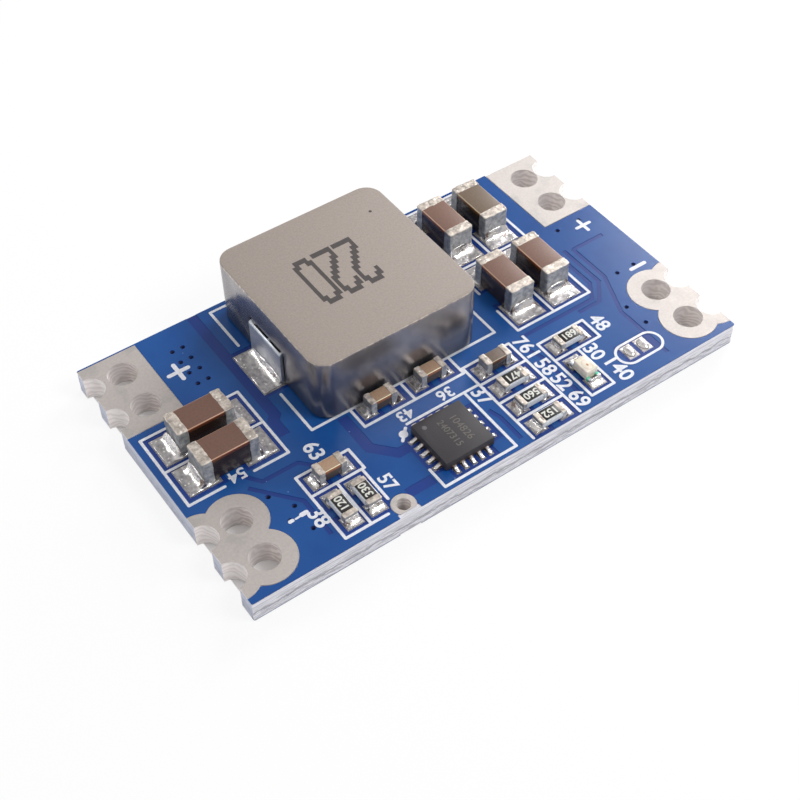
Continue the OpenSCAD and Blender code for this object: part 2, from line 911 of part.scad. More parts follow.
module small_capacitor_ends(i) {
    color(solder_colour)
        at(small_caps[i], z_seat) end_caps(chip_l, chip_w, small_cap_h, small_cap_end, small_edge_r);
}

module resistor(i) {
    color(alumina_colour)
        at(resistors[i], z_seat)
            translate([metal_t - chip_l / 2, -chip_w / 2, metal_t])
                cube([chip_l - 2 * metal_t, chip_w, resistor_h - 2 * metal_t]);
}

// Printed coat between the end terminals, with sloping edges
module resistor_coat(i) {
    half_l = chip_l / 2 - resistor_end;
    top_l = half_l - coat_t;
    color(coat_colour)
        at(resistors[i], z_seat + resistor_h - metal_t)
            translate([0, chip_w / 2 - coat_t, 0])
                rotate([90, 0, 0])
                    linear_extrude(chip_w - 2 * coat_t)
                        polygon([[-half_l, 0], [half_l, 0], [top_l, coat_t], [-top_l, coat_t]]);
}

module resistor_ends(i) {
    color(solder_colour) at(resistors[i], z_seat) folded_ends(chip_l, chip_w, resistor_h, resistor_end);
}

module indicator_base() {
    color(led_base_colour)
        at(led, z_seat)
            translate([metal_t - chip_l / 2, -chip_w / 2, metal_t])
                cube([chip_l - 2 * metal_t, chip_w, led_base_h - 2 * metal_t]);
}

module indicator_terminals() {
    color(tin_colour) at(led, z_seat) folded_ends(chip_l, chip_w, led_base_h, led_end);
}

// Clear lens with sloping ends, cast on the base between the terminals' tips
module indicator_lens() {
    half_l = lens_l / 2;
    tip = chip_l / 2 - led_end;
    color(lens_colour)
        at(led, z_seat)
            translate([0, chip_w / 2, 0])
                rotate([90, 0, 0])
                    linear_extrude(chip_w)
                        polygon([
                            [-tip, led_base_h - metal_t], [tip, led_base_h - metal_t],
                            [tip, led_base_h], [half_l, led_base_h], [half_l - lens_slope, led_h],
                            [lens_slope - half_l, led_h], [-half_l, led_base_h], [-tip, led_base_h],
                        ]);
}

// ---------- Legend ----------

// Printed lines along X and along Y, given by their middle lines
module line_x(x0, x1, y) {
    area(x0 - legend_w / 2, x1 + legend_w / 2, y - legend_w / 2, y + legend_w / 2);
}

module line_y(x, y0, y1) {
    area(x - legend_w / 2, x + legend_w / 2, y0 - legend_w / 2, y1 + legend_w / 2);
}

module frame(x0, x1, y0, y1) {
    line_x(x0, x1, y0);
    line_x(x0, x1, y1);
    line_y(x0, y0, y1);
    line_y(x1, y0, y1);
}

module plus_sign(x, y, size, stroke) {
    translate([x, y]) {
        square([size, stroke], center = true);
        square([stroke, size], center = true);
    }
}

module minus_sign(x, y, size, stroke) {
    translate([x, y]) square([size, stroke], center = true);
}

module inductor_legend() {
    left = inductor_x - core_w / 2 - inductor_frame_left;
    right = inductor_x + core_w / 2 + inductor_frame_right;
    low = inductor_y - core_w / 2 - inductor_frame_front;
    high = inductor_y + core_w / 2 + inductor_frame_back;
    land_stop = lead_land_w / 2 + inductor_frame_stop;
    line_x(left, right, low);
    line_x(left, right, high);
    for (x = [left, right]) {
        line_y(x, low, inductor_y - land_stop);
        line_y(x, inductor_y + land_stop, high);
    }
}

module input_capacitor_legend() {
    reach_x = big_half_l + frame_gap;
    reach_y = in_cap_pitch / 2 + big_half_w + frame_gap;
    frame(in_cap_x - reach_x, in_cap_x + reach_x, in_cap_y - reach_y, in_cap_y + reach_y);
    line_x(in_cap_x - reach_x, in_cap_x + reach_x, in_cap_y);
}

module output_capacitor_legend() {
    reach_x = out_cap_pitch / 2 + big_half_w + frame_gap;
    middle = (out_cap_back_y + out_cap_front_y) / 2;
    low = out_cap_front_y - big_half_l - frame_gap;
    high = min(out_cap_back_y + big_half_l + frame_gap, y_back - legend_w);
    frame(out_cap_x - reach_x, out_cap_x + reach_x, low, high);
    line_y(out_cap_x, low, high);
    line_x(out_cap_x - reach_x, out_cap_x + reach_x, middle);
}

// Frame round one small chip that lies along X
module chip_frame(place) {
    reach_x = small_half_l + small_frame_end_gap;
    reach_y = small_half_w + small_frame_side_gap;
    frame(place[0] - reach_x, place[0] + reach_x, place[1] - reach_y, place[1] + reach_y);
}

module feedback_legend() {
    reach_y = small_half_w + small_frame_side_gap;
    top = small_caps[0][1] - reach_y;
    low = feedback_y - small_half_l - small_frame_end_gap;
    left = feedback_x - feedback_pitch / 2 - small_half_w - small_frame_side_gap;
    right = feedback_x + feedback_pitch / 2 + small_half_w + small_frame_side_gap;
    chip_frame(small_caps[0]);
    frame(left, right, low, top);
    line_y(feedback_x, low, top);
}

module row_legend() {
    reach_x = small_half_l + small_frame_end_gap;
    low = row_y - small_half_w - row_frame_gap;
    high = inductor_y - core_w / 2 - inductor_frame_front;
    left = small_caps[1][0] - reach_x;
    right = small_caps[2][0] + reach_x;
    line_x(left, right, low);
    line_y(left, low, high);
    line_y(right, low, high);
    line_y((small_caps[1][0] + small_caps[2][0]) / 2, low, high);
}

module column_legend() {
    reach_x = small_half_l + small_frame_end_gap;
    high = small_caps[3][1] + column_pitch / 2;
    frame(column_x - reach_x, column_x + reach_x, column_first_y - column_front_gap, high);
    for (i = [0:2]) {
        line_x(column_x - reach_x, column_x + reach_x, column_first_y + (i + 0.5) * column_pitch);
    }
}

module controller_legend() {
    reach = package_w / 2 + controller_frame_gap;
    left = package_x - reach;
    right = package_x + reach;
    low = package_y - reach;
    high = package_y + reach;
    line_x(left + controller_top_start, right, high);
    line_y(right, low, high);
    line_x(left, right, low);
    line_y(left, low, low + controller_left_part);
    // Mark beside the first lead: a dot with a tail
    translate([left + mark_x, high - mark_y]) {
        circle(mark_r);
        rotate([0, 0, 45]) square([tail_l, legend_w], center = true);
    }
}

module indicator_legend() {
    reach_x = small_half_w + small_frame_side_gap;
    reach_y = small_half_l + indicator_end_gap;
    chip_frame(resistors[5]);
    frame(led[0] - reach_x, led[0] + reach_x, led[1] - reach_y, led[1] + reach_y);
}

module jumper_legend() {
    l = jumper_pitch + jumper_l + jumper_frame_l;
    w = jumper_w + jumper_frame_w;
    end_r = w / 2 - overlap;
    translate([jumper_x, jumper_y])
        difference() {
            rounded_rect(l, w, end_r);
            rounded_rect(l - 2 * legend_w, w - 2 * legend_w, end_r - legend_w);
        }
}

module sign_legend() {
    plus_sign(-107.8 * step_x, plus_y - sign_stroke, input_sign_w, sign_stroke);
    minus_sign(-109 * step_x, minus_y - sign_stroke, input_sign_w, sign_stroke);
    plus_sign(136.2 * step_x, 20 * step_y, output_sign_w, sign_stroke);
    minus_sign(139 * step_x, -23.5 * step_y, output_sign_w, sign_stroke);
}

// The ink is left off every opening in the mask
module legend_top() {
    color(legend_colour)
        translate([0, 0, z_top])
            linear_extrude(legend_t)
                difference() {
                    union() {
                        inductor_legend();
                        input_capacitor_legend();
                        output_capacitor_legend();
                        feedback_legend();
                        row_legend();
                        column_legend();
                        controller_legend();
                        indicator_legend();
                        jumper_legend();
                        sign_legend();
                    }
                    shared_openings();
                    lands(mask_gap);
                }
}

pcb_laminate();
solder_mask_top();
solder_mask_bottom();
legend_top();
input_plus_terminal();
input_minus_terminal();
output_plus_terminal();
output_minus_terminal();
enable_hole_plating();
via_barrels();
component_lands();
solder_joints();
inductor_core();
inductor_lead(1);  // inductor_input_lead
inductor_lead(0);  // inductor_output_lead
controller_package();
controller_leads();
indicator_base();
indicator_terminals();
indicator_lens();
big_capacitor(0);  // input_capacitor_1
big_capacitor_ends(0);  // input_capacitor_1_ends
big_capacitor(1);  // input_capacitor_2
big_capacitor_ends(1);  // input_capacitor_2_ends
big_capacitor(2);  // output_capacitor_1
big_capacitor_ends(2);  // output_capacitor_1_ends
big_capacitor(3);  // output_capacitor_2
big_capacitor_ends(3);  // output_capacitor_2_ends
big_capacitor(4);  // output_capacitor_3
big_capacitor_ends(4);  // output_capacitor_3_ends
big_capacitor(5);  // output_capacitor_4
big_capacitor_ends(5);  // output_capacitor_4_ends
small_capacitor(0);  // small_capacitor_1
small_capacitor_ends(0);  // small_capacitor_1_ends
small_capacitor(1);  // small_capacitor_2
small_capacitor_ends(1);  // small_capacitor_2_ends
small_capacitor(2);  // small_capacitor_3
small_capacitor_ends(2);  // small_capacitor_3_ends
small_capacitor(3);  // small_capacitor_4
small_capacitor_ends(3);  // small_capacitor_4_ends
resistor(0);  // resistor_1
resistor_coat(0);  // resistor_1_coat
resistor_ends(0);  // resistor_1_ends
resistor(1);  // resistor_2
resistor_coat(1);  // resistor_2_coat
resistor_ends(1);  // resistor_2_ends
resistor(2);  // resistor_3
resistor_coat(2);  // resistor_3_coat
resistor_ends(2);  // resistor_3_ends
resistor(3);  // resistor_4
resistor_coat(3);  // resistor_4_coat
resistor_ends(3);  // resistor_4_ends
resistor(4);  // resistor_5
resistor_coat(4);  // resistor_5_coat
resistor_ends(4);  // resistor_5_ends
resistor(5);  // resistor_6
resistor_coat(5);  // resistor_6_coat
resistor_ends(5);  // resistor_6_ends
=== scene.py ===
import json
import math

import bmesh
import bpy
from mathutils import Matrix, Vector


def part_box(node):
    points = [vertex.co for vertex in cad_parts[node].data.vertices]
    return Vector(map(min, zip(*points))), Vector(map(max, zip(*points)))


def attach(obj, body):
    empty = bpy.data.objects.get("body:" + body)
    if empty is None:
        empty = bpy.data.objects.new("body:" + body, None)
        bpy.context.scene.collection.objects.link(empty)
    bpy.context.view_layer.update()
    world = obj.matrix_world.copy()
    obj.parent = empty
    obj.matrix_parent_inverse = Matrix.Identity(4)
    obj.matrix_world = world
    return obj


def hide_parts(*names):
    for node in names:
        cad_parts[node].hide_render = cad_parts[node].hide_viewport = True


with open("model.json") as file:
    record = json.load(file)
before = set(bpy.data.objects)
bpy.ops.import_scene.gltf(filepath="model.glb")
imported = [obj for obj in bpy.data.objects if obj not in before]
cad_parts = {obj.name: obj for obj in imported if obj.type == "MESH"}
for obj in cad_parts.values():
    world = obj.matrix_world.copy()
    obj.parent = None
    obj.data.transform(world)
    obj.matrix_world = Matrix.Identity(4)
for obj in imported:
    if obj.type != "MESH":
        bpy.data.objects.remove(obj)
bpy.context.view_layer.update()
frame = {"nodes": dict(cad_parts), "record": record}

# Pieces are modelled in millimetres and brought to metres when they are finished
MM = 0.001


def box_mm(node):
    """Lowest and highest corner of a CAD node, in millimetres."""
    low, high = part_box(node)
    return Vector(low) / MM, Vector(high) / MM


board_low, board_high = box_mm("pcb_laminate")
core_low, core_high = box_mm("inductor_core")
lead_low, lead_high = box_mm("inductor_input_lead")
# Heights of the lacquer, of the bare lands and of the seat of the soldered parts
TOP = box_mm("solder_mask_top")[1].z
LAND_TOP = box_mm("component_lands")[1].z
SEAT = lead_low.z
# How far the inductor's leads stand out of its core
LEAD_PROUD = 0.14
LEAD_MIDDLE = (lead_low.y + lead_high.y) / 2


# ---------- Ways of working ----------

def nothing_selected():
    if bpy.context.object and bpy.context.object.mode != "OBJECT":
        bpy.ops.object.mode_set(mode="OBJECT")
    bpy.ops.object.select_all(action="DESELECT")


def only(piece):
    nothing_selected()
    piece.select_set(True)
    bpy.context.view_layer.objects.active = piece


def settled(piece):
    only(piece)
    bpy.ops.object.transform_apply(location=True, rotation=True, scale=True)
    return piece


def block(low, high):
    """Box between two corners."""
    nothing_selected()
    low, high = Vector(low), Vector(high)
    bpy.ops.mesh.primitive_cube_add(size=1, location=(low + high) / 2, scale=high - low)
    return settled(bpy.context.object)


def plate(x, y, length, width, low, high):
    """Box with its middle at a place."""
    return block((x - length / 2, y - width / 2, low), (x + length / 2, y + width / 2, high))


def drum(x, y, low, high, r, sides=48):
    """Upright cylinder."""
    nothing_selected()
    bpy.ops.mesh.primitive_cylinder_add(
        vertices=sides, radius=r, depth=high - low, location=(x, y, (low + high) / 2))
    return settled(bpy.context.object)


def edit(piece, kind):
    only(piece)
    bpy.ops.object.mode_set(mode="EDIT")
    bpy.ops.mesh.select_mode(type=kind)
    bpy.ops.mesh.select_all(action="DESELECT")
    return bmesh.from_edit_mesh(piece.data)


def take(piece, kind, test):
    mesh = edit(piece, kind)
    for part in {"FACE": mesh.faces, "EDGE": mesh.edges, "VERT": mesh.verts}[kind]:
        part.select_set(test(part))
    bmesh.update_edit_mesh(piece.data)


def take_faces(piece, test):
    take(piece, "FACE", lambda face: test(face.calc_center_median(), face.normal))


def take_edges(piece, test):
    take(piece, "EDGE", lambda edge: test(edge.verts[0].co, edge.verts[1].co))


def take_points(piece, test):
    take(piece, "VERT", lambda point: test(point.co))


def take_all(piece):
    edit(piece, "FACE")
    bpy.ops.mesh.select_all(action="SELECT")


def done():
    bpy.ops.object.mode_set(mode="OBJECT")


def move(x=0.0, y=0.0, z=0.0):
    bpy.ops.transform.translate(value=(x, y, z))


def round_edges(piece, test, r, steps):
    take_edges(piece, test)
    bpy.ops.mesh.bevel(offset=r, segments=steps, affect="EDGES")
    done()


def near(a, b):
    return abs(a - b) < 1e-3


def upright(a, b):
    return abs(a.x - b.x) < 1e-4 and abs(a.y - b.y) < 1e-4


def lies_along_x(low, high):
    return high.x - low.x > high.y - low.y


def cut_across(piece, axis, places):
    """Adds a line of edges round the piece at each place along an axis."""
    for place in places:
        take_all(piece)
        point, normal = [0.0] * 3, [0.0] * 3
        point[axis], normal[axis] = place, 1.0
        bpy.ops.mesh.bisect(plane_co=point, plane_no=normal)
    done()


def apply_modifier(piece, kind, **settings):
    only(piece)
    modifier = piece.modifiers.new(kind.title(), kind)
    for name, value in settings.items():
        setattr(modifier, name, value)
    bpy.ops.object.modifier_apply(modifier=modifier.name)


def merge_points(piece, distance):
    take_all(piece)
    bpy.ops.mesh.remove_doubles(threshold=distance)
    done()


def soften(piece, r, steps=2, angle=35):
    """Rounds every edge sharper than the angle."""
    apply_modifier(piece, "BEVEL", width=r, segments=steps, limit_method="ANGLE",
                   angle_limit=math.radians(angle), use_clamp_overlap=True)
    merge_points(piece, 0.00002)


def melt(piece, levels):
    """Lets a coarse form flow into a smooth one."""
    apply_modifier(piece, "SUBSURF", levels=levels, render_levels=levels)


grains = {}


def roughen(piece, depth, grain, direction="NORMAL", part=""):
    """Uneven surface: patches of the grain's size, and a depth from dip to peak."""
    if grain not in grains:
        grains[grain] = bpy.data.textures.new("uneven", "CLOUDS")
        grains[grain].noise_scale = grain
        grains[grain].noise_depth = 1
    apply_modifier(piece, "DISPLACE", texture=grains[grain], strength=depth, mid_level=0.5,
                   direction=direction, texture_coords="GLOBAL", vertex_group=part)


def joined(pieces):
    nothing_selected()
    for piece in pieces:
        piece.select_set(True)
    bpy.context.view_layer.objects.active = pieces[0]
    if len(pieces) > 1:
        bpy.ops.object.join()
    return pieces[0]


def with_tool(piece, tool, operation="DIFFERENCE"):
    apply_modifier(piece, "BOOLEAN", object=tool, operation=operation, solver="EXACT")
    bpy.data.objects.remove(tool, do_unlink=True)
    return piece


def copy_of(template, place, turn=0.0):
    """Copy with its own mesh, turned about the vertical and set at a place."""
    only(template)
    bpy.ops.object.duplicate(linked=False)
    piece = bpy.context.object
    piece.location = place
    piece.rotation_euler.z = math.radians(turn)
    return settled(piece)


def scrap(*pieces):
    for piece in pieces:
        bpy.data.objects.remove(piece, do_unlink=True)


def finish(piece, name, material, slot, *nodes, angle=40):
    """Brings a piece to metres, gives it its finish and makes it ride with the board."""
    piece.name = name
    piece.data.name = name
    take_all(piece)
    bpy.ops.mesh.normals_make_consistent(inside=False)
    done()
    piece.scale = (MM, MM, MM)
    settled(piece)
    bpy.ops.object.shade_smooth_by_angle(angle=math.radians(angle))
    piece.data.materials.clear()
    piece.data.materials.append(material)
    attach(piece, "root")
    if nodes:
        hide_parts(*nodes)
    return piece


# ---------- Finishes ----------

def tone(colour):
    """Colour from 0 to 255, as a shader wants it."""
    return (*[((v / 255 + 0.055) / 1.055) ** 2.4 if v > 10 else v / 3294.6 for v in colour], 1.0)


def shade(colour, *shares):
    """Colour made darker or brighter, by one share or by one for each channel."""
    if len(shares) == 1:
        shares *= 3
    return tuple(min(255, v * share) for v, share in zip(colour, shares))


class Finish:
    """One material, built up from patterns on the piece's own coordinates."""

    def __init__(self, name, colour, roughness, metallic=0.0):
        self.material = bpy.data.materials.new(name)
        self.material.use_nodes = True
        self.tree = self.material.node_tree
        self.shader = self.tree.nodes["Principled BSDF"]
        self.colour(tone(colour))
        self.gloss(roughness)
        self.surface("Metallic", metallic)
        self.place = self.node("TexCoord").outputs["Object"]
        self.normal = None

    def node(self, kind, inputs={}, **settings):
        made = self.tree.nodes.new("ShaderNode" + kind)
        for name, value in settings.items():
            setattr(made, name, value)
        for name, value in inputs.items():
            self.plug(value, made.inputs[name])
        return made

    def plug(self, value, socket):
        if isinstance(value, bpy.types.NodeSocket):
            self.tree.links.new(value, socket)
        elif value is not None:
            socket.default_value = value

    def mapped(self, per_mm, stretch=(1, 1, 1)):
        scale = [per_mm * s / MM for s in stretch]
        return self.node("Mapping", {"Vector": self.place, "Scale": scale}).outputs["Vector"]

    def cloud(self, per_mm, detail=2.0, roughness=0.5, stretch=(1, 1, 1)):
        """Soft random patches, so many to a millimetre."""
        place = self.mapped(per_mm, stretch)
        return self.node("TexNoise", {"Vector": place, "Scale": 1.0, "Detail": detail,
                                      "Roughness": roughness}).outputs["Fac"]

    def grit(self, per_mm):
        """Distance to scattered points, for specks and pits."""
        inputs = {"Vector": self.mapped(per_mm), "Scale": 1.0}
        return self.node("TexVoronoi", inputs, feature="F1").outputs["Distance"]

    def bands(self, axis, per_mm, distortion):
        """Wavy bands across an axis, so many to a millimetre."""
        inputs = {"Vector": self.mapped(per_mm), "Scale": 1.0, "Distortion": distortion}
        return self.node("TexWave", inputs, wave_type="BANDS", bands_direction=axis).outputs["Fac"]

    def range(self, value, from_low, from_high, low=0.0, high=1.0):
        return self.node("MapRange", {"Value": value, "From Min": from_low, "From Max": from_high,
                                      "To Min": low, "To Max": high}).outputs["Result"]

    def reckon(self, operation, a, b=None):
        return self.node("Math", {0: a, 1: b}, operation=operation).outputs[0]

    def times(self, a, b):
        return self.reckon("MULTIPLY", a, b)

    def blend(self, factor, a, b, mode="MIX"):
        """From a to b. Each is a pattern, or a colour from 0 to 255."""
        a, b = [tone(v) if isinstance(v, tuple) else v for v in (a, b)]
        return self.node("Mix", {0: factor, 6: a, 7: b}, data_type="RGBA", blend_type=mode).outputs[2]

    def along(self, axis):
        """Place on an axis, in metres."""
        return self.node("SeparateXYZ", {0: self.place}).outputs[axis]

    def facing(self, axis):
        """How far the surface faces along an axis, from -1 to 1."""
        normal = self.node("NewGeometry").outputs["Normal"]
        return self.node("SeparateXYZ", {0: normal}).outputs[axis]

    def surface(self, name, value):
        self.plug(value, self.shader.inputs[name])

    def colour(self, value):
        self.surface("Base Color", value)

    def gloss(self, value):
        self.surface("Roughness", value)

    def relief(self, height, depth):
        """Fine unevenness, so many millimetres deep."""
        bump = self.node("Bump", {"Distance": depth * MM, "Height": height, "Normal": self.normal})
        self.normal = bump.outputs["Normal"]
        self.surface("Normal", self.normal)


def solder_mask_finish(name, has_gaps):
    """Blue lacquer over copper. Where the copper has a gap it dips and looks darker."""
    made = Finish(name, (30, 78, 150), 0.32)
    cloth = made.cloud(0.35, 3.0)
    blue = made.blend(made.range(cloth, 0.3, 0.7), (14, 70, 138), (24, 80, 148))
    if has_gaps:
        dip = made.reckon("LESS_THAN", made.along("Z"), (TOP - 0.01) * MM)
        blue = made.blend(dip, blue, (24, 56, 130))
    specks = made.range(made.grit(0.9), 0.035, 0.02, 0.0, 0.5)
    blue = made.blend(specks, blue, (150, 176, 214))
    if not has_gaps:
        # Cut through at the board's edge, where the bare laminate was smeared over it
        cut = made.range(made.reckon("ABSOLUTE", made.facing("Z")), 0.6, 0.4)
        blue = made.blend(cut, blue, (196, 198, 200))
    made.colour(blue)
    made.gloss(made.range(made.cloud(3.0), 0.3, 0.7, 0.25, 0.27))
    made.surface("Specular IOR Level", 0.42)
    made.relief(made.cloud(2.5, 2.0), 0.0008)
    return made.material


def laminate_finish():
    """Glass cloth and resin, seen at the board's edges."""
    made = Finish("glass_laminate", (196, 200, 196), 0.7)
    fibres = made.cloud(3.5, 4.0, 0.65, (0.2, 0.2, 4.0))
    pale = made.blend(made.range(fibres, 0.35, 0.65), (213, 212, 219), (246, 245, 252))
    torn = made.range(made.cloud(2.2, 4.0, 0.7, (0.4, 1, 5.0)), 0.45, 0.62)
    low = made.range(made.along("Z"), 0.95 * MM, 0.75 * MM)
    pale = made.blend(made.times(torn, low), pale, (172, 172, 180))
    # On the snapped sides a ragged line lies under the score and a fine one along it
    snapped = made.range(made.reckon("ABSOLUTE", made.facing("Y")), 0.4, 0.7)
    wander = made.range(made.cloud(1.3, 4.0, 0.7, (1, 0.2, 0.2)), 0.3, 0.7, -0.11 * MM, 0.11 * MM)
    for height, stray, wide, strength in ((0.52, wander, 0.05, 0.8), (0.98, None, 0.03, 0.4)):
        level = made.reckon("ADD", made.along("Z"), stray) if stray else made.along("Z")
        away = made.reckon("ABSOLUTE", made.reckon("SUBTRACT", level, height * MM))
        line = made.range(away, 1.8 * wide * MM, 0.6 * wide * MM, 0.0, strength)
        pale = made.blend(made.times(line, snapped), pale, (150, 149, 160))
    routed = made.range(made.reckon("ABSOLUTE", made.facing("X")), 0.5, 0.9, 0.0, 0.5)
    made.colour(made.blend(routed, pale, (166, 178, 204)))
    made.relief(fibres, 0.02)
    return made.material


def tinned_finish(name, colour, metallic=0.55, rough=0.42, drilled=False):
    """Tin: matt, with faint stains. In drilled holes it is paler and shows the drill's marks."""
    made = Finish(name, colour, rough, metallic)
    grain = made.cloud(7.0, 4.0, 0.7)
    metal = made.blend(made.range(grain, 0.3, 0.7), shade(colour, 0.96), shade(colour, 1.04))
    stains = made.range(made.cloud(0.55, 5.0, 0.65), 0.54, 0.68, 0.0, 0.5)
    metal = made.blend(stains, metal, shade(colour, 0.84, 0.87, 0.88))
    if drilled:
        # Darker towards the input side: painted shade, for the light that falls off to the left
        painted_leftward_shade = made.range(made.along("X"), -2 * MM, -10 * MM)
        metal = made.blend(painted_leftward_shade, metal, (231, 230, 230), "MULTIPLY")
        wall = made.range(made.reckon("ABSOLUTE", made.facing("Z")), 0.6, 0.3)
        rings = made.bands("Z", 1.0, 12.0)
        marked = made.blend(made.range(rings, 0.3, 0.9), (250, 244, 242), (234, 227, 225))
        # The whole holes are painted with shade, darker than the half-holes at the ends and darkest on the
        # walls at the back, which face the front
        whole = made.range(made.reckon("ABSOLUTE", made.along("X")), 14.35 * MM, 14.15 * MM)
        painted_hole_shade = made.blend(made.range(rings, 0.2, 0.8), (248, 241, 238), (220, 213, 210))
        painted_hole_shade = made.blend(made.range(made.facing("Y"), -0.6, -1.0, 0.0, 0.6), painted_hole_shade, (172, 169, 170))
        metal = made.blend(wall, metal, made.blend(whole, marked, painted_hole_shade))
        made.surface("Metallic", made.range(wall, 0.0, 1.0, metallic, 0.0))
        made.relief(made.times(wall, rings), 0.002)
    made.colour(metal)
    made.gloss(made.range(made.cloud(2.5, 3.0), 0.3, 0.7, rough - 0.06, rough + 0.1))
    made.relief(grain, 0.003)
    return made.material


def solder_finish():
    """Solder: bright and smooth where it climbs a chip's end, grey and grainy where it lies flat."""
    made = Finish("solder", (200, 198, 198), 0.3, 0.8)
    flat = made.range(made.facing("Z"), 0.84, 0.97)
    grain = made.cloud(4.0, 4.0, 0.65)
    grainy = made.blend(made.range(grain, 0.35, 0.65), (158, 153, 155), (208, 204, 204))
    # The bright specks on the grainy solder are painted glints
    points = made.range(made.grit(4.0), 0.27, 0.12)
    grainy = made.blend(points, grainy, (255, 250, 244))
    # Red-brown patches: partly flux, partly a painted reflection of the brown chips
    flux_and_reflection = made.range(made.cloud(1.6, 3.0, 0.6), 0.56, 0.64, 0.0, 0.85)
    bright = made.blend(flux_and_reflection, (252, 248, 244), (112, 82, 68))
    # Painted shade: the steep parts next to the chips are painted dark, standing in for dark reflections
    steep_painted_shade = made.range(made.facing("Z"), 0.5, 0.2)
    bright = made.blend(steep_painted_shade, bright, (96, 88, 84))
    made.colour(made.blend(flat, bright, grainy))
    made.gloss(made.range(flat, 0.0, 1.0, 0.12, 0.42))
    made.relief(grain, 0.03)
    return made.material


def chip_end_finish():
    """Fired and plated end caps: warm silver with a coarse sparkle."""
    made = Finish("chip_end_metal", (220, 210, 200), 0.4, 0.45)
    grain = made.cloud(3.5, 4.0, 0.65)
    metal = made.blend(made.range(grain, 0.35, 0.62), (160, 150, 142), (228, 216, 204))
    # The sparkle is painted glints: bright specks put into the colour
    points = made.range(made.grit(3.0), 0.22, 0.1)
    metal = made.blend(points, metal, (255, 250, 244))
    # Painted shade: the steep sides get a cooler, darker grey, and are painted darker still where they face
    # -X
    low = made.range(made.facing("Z"), 0.5, 0.1)
    steep_painted_shade = made.blend(made.range(grain, 0.35, 0.65), (142, 146, 150), (206, 206, 204))
    steep_painted_shade = made.blend(made.range(made.facing("X"), -0.3, -0.8), steep_painted_shade, (218, 220, 224), "MULTIPLY")
    made.colour(made.blend(low, metal, steep_painted_shade))
    made.gloss(made.range(grain, 0.3, 0.7, 0.3, 0.46))
    made.relief(grain, 0.035)
    return made.material


def core_finish():
    """Pressed iron powder under a grey lacquer, with a painted highlight along the top edges that is partly
    wear.
    """
    made = Finish("pressed_iron_powder", (168, 160, 153), 0.52)
    grain = made.cloud(9.0, 4.0, 0.7)
    grey = made.blend(made.range(grain, 0.3, 0.7), (147, 136, 128), (163, 152, 144))
    pits = made.range(made.grit(1.2), 0.06, 0.03, 0.0, 0.35)
    grey = made.blend(pits, grey, (110, 102, 96))
    # The sides were rubbed smooth in the press and shine
    side = made.range(made.facing("Z"), 0.8, 0.35)
    smears = made.range(made.cloud(0.7, 4.0, 0.6, (1.2, 1.2, 0.5)), 0.38, 0.66)
    # Painted shade on the sides: dark and bluish at the bottom, lighter towards the top, with paler smears
    # laid over it
    rise = made.range(made.along("Z"), (core_low.z + 0.2) * MM, (core_high.z - 0.7) * MM)
    painted_shade_flank = made.blend(rise, (70, 72, 82), (146, 142, 145))
    painted_shade_flank = made.blend(made.times(smears, 0.35), painted_shade_flank, (196, 192, 190))
    grey = made.blend(side, grey, painted_shade_flank)
    # Painted highlight, partly wear: a pale patchy band where the top turns down at its edges
    rim = made.range(made.along("Z"), (core_high.z - 0.22) * MM, (core_high.z - 0.1) * MM)
    wear_and_highlight = made.times(made.range(made.facing("Z"), 0.95, 0.75), rim)
    wear_and_highlight = made.times(wear_and_highlight, made.range(made.cloud(4.0, 3.0), 0.46, 0.62))
    made.colour(made.blend(wear_and_highlight, grey, (204, 190, 178)))
    made.surface("Metallic", made.times(side, 0.8))
    made.gloss(made.range(side, 0.0, 1.0, 0.6, 0.24))
    made.relief(grain, 0.004)
    return made.material


def ceramic_finish(name, colour, top):
    """Fired ceramic: matt and fine grained, with painted shade on its sides and a painted highlight along
    its top edges.
    """
    made = Finish(name + "_fired_ceramic", colour, 0.42)
    grain = made.cloud(9.0, 4.0, 0.6)
    body = made.blend(made.range(grain, 0.3, 0.7), shade(colour, 0.94), shade(colour, 1.06))
    # Painted highlight: the rounded top edges are painted bright
    edge = made.range(made.facing("Z"), 0.97, 0.88)
    body = made.blend(edge, body, shade(colour, 1.8, 1.95, 1.9))
    # Painted shade: the sides are painted dark, orange-brown only just under the top edge
    below = made.range(made.along("Z"), (top - 0.26) * MM, (top - 0.08) * MM)
    side = made.blend(below, shade(colour, 0.42), shade(colour, 1.05, 0.78, 0.6))
    made.colour(made.blend(made.range(made.facing("Z"), 0.5, 0.3), body, side))
    made.gloss(made.range(made.facing("Z"), 0.99, 0.95, 0.45, 0.25))
    made.relief(grain, 0.003)
    return made.material


def moulded_finish(name, colour, rough, fleck):
    """Moulded resin: fine grain with a few paler flecks."""
    made = Finish(name, colour, rough)
    grain = made.cloud(18.0, 3.0, 0.7)
    body = made.blend(made.range(grain, 0.3, 0.7), shade(colour, 0.85), shade(colour, 1.15))
    points = made.range(made.grit(4.0), 0.08, 0.04, 0.0, fleck)
    made.colour(made.blend(points, body, shade(colour, 1.8)))
    made.gloss(made.range(grain, 0.3, 0.7, rough - 0.05, rough + 0.08))
    made.relief(grain, 0.006)
    return made.material


def ink_finish(name, colour, rough=0.5):
    """Printed ink: a little thin in places."""
    made = Finish(name, colour, rough)
    thin = made.range(made.cloud(6.0, 3.0, 0.6), 0.35, 0.65)
    made.colour(made.blend(thin, shade(colour, 0.93), colour))
    made.relief(made.cloud(12.0, 2.0), 0.004)
    return made.material


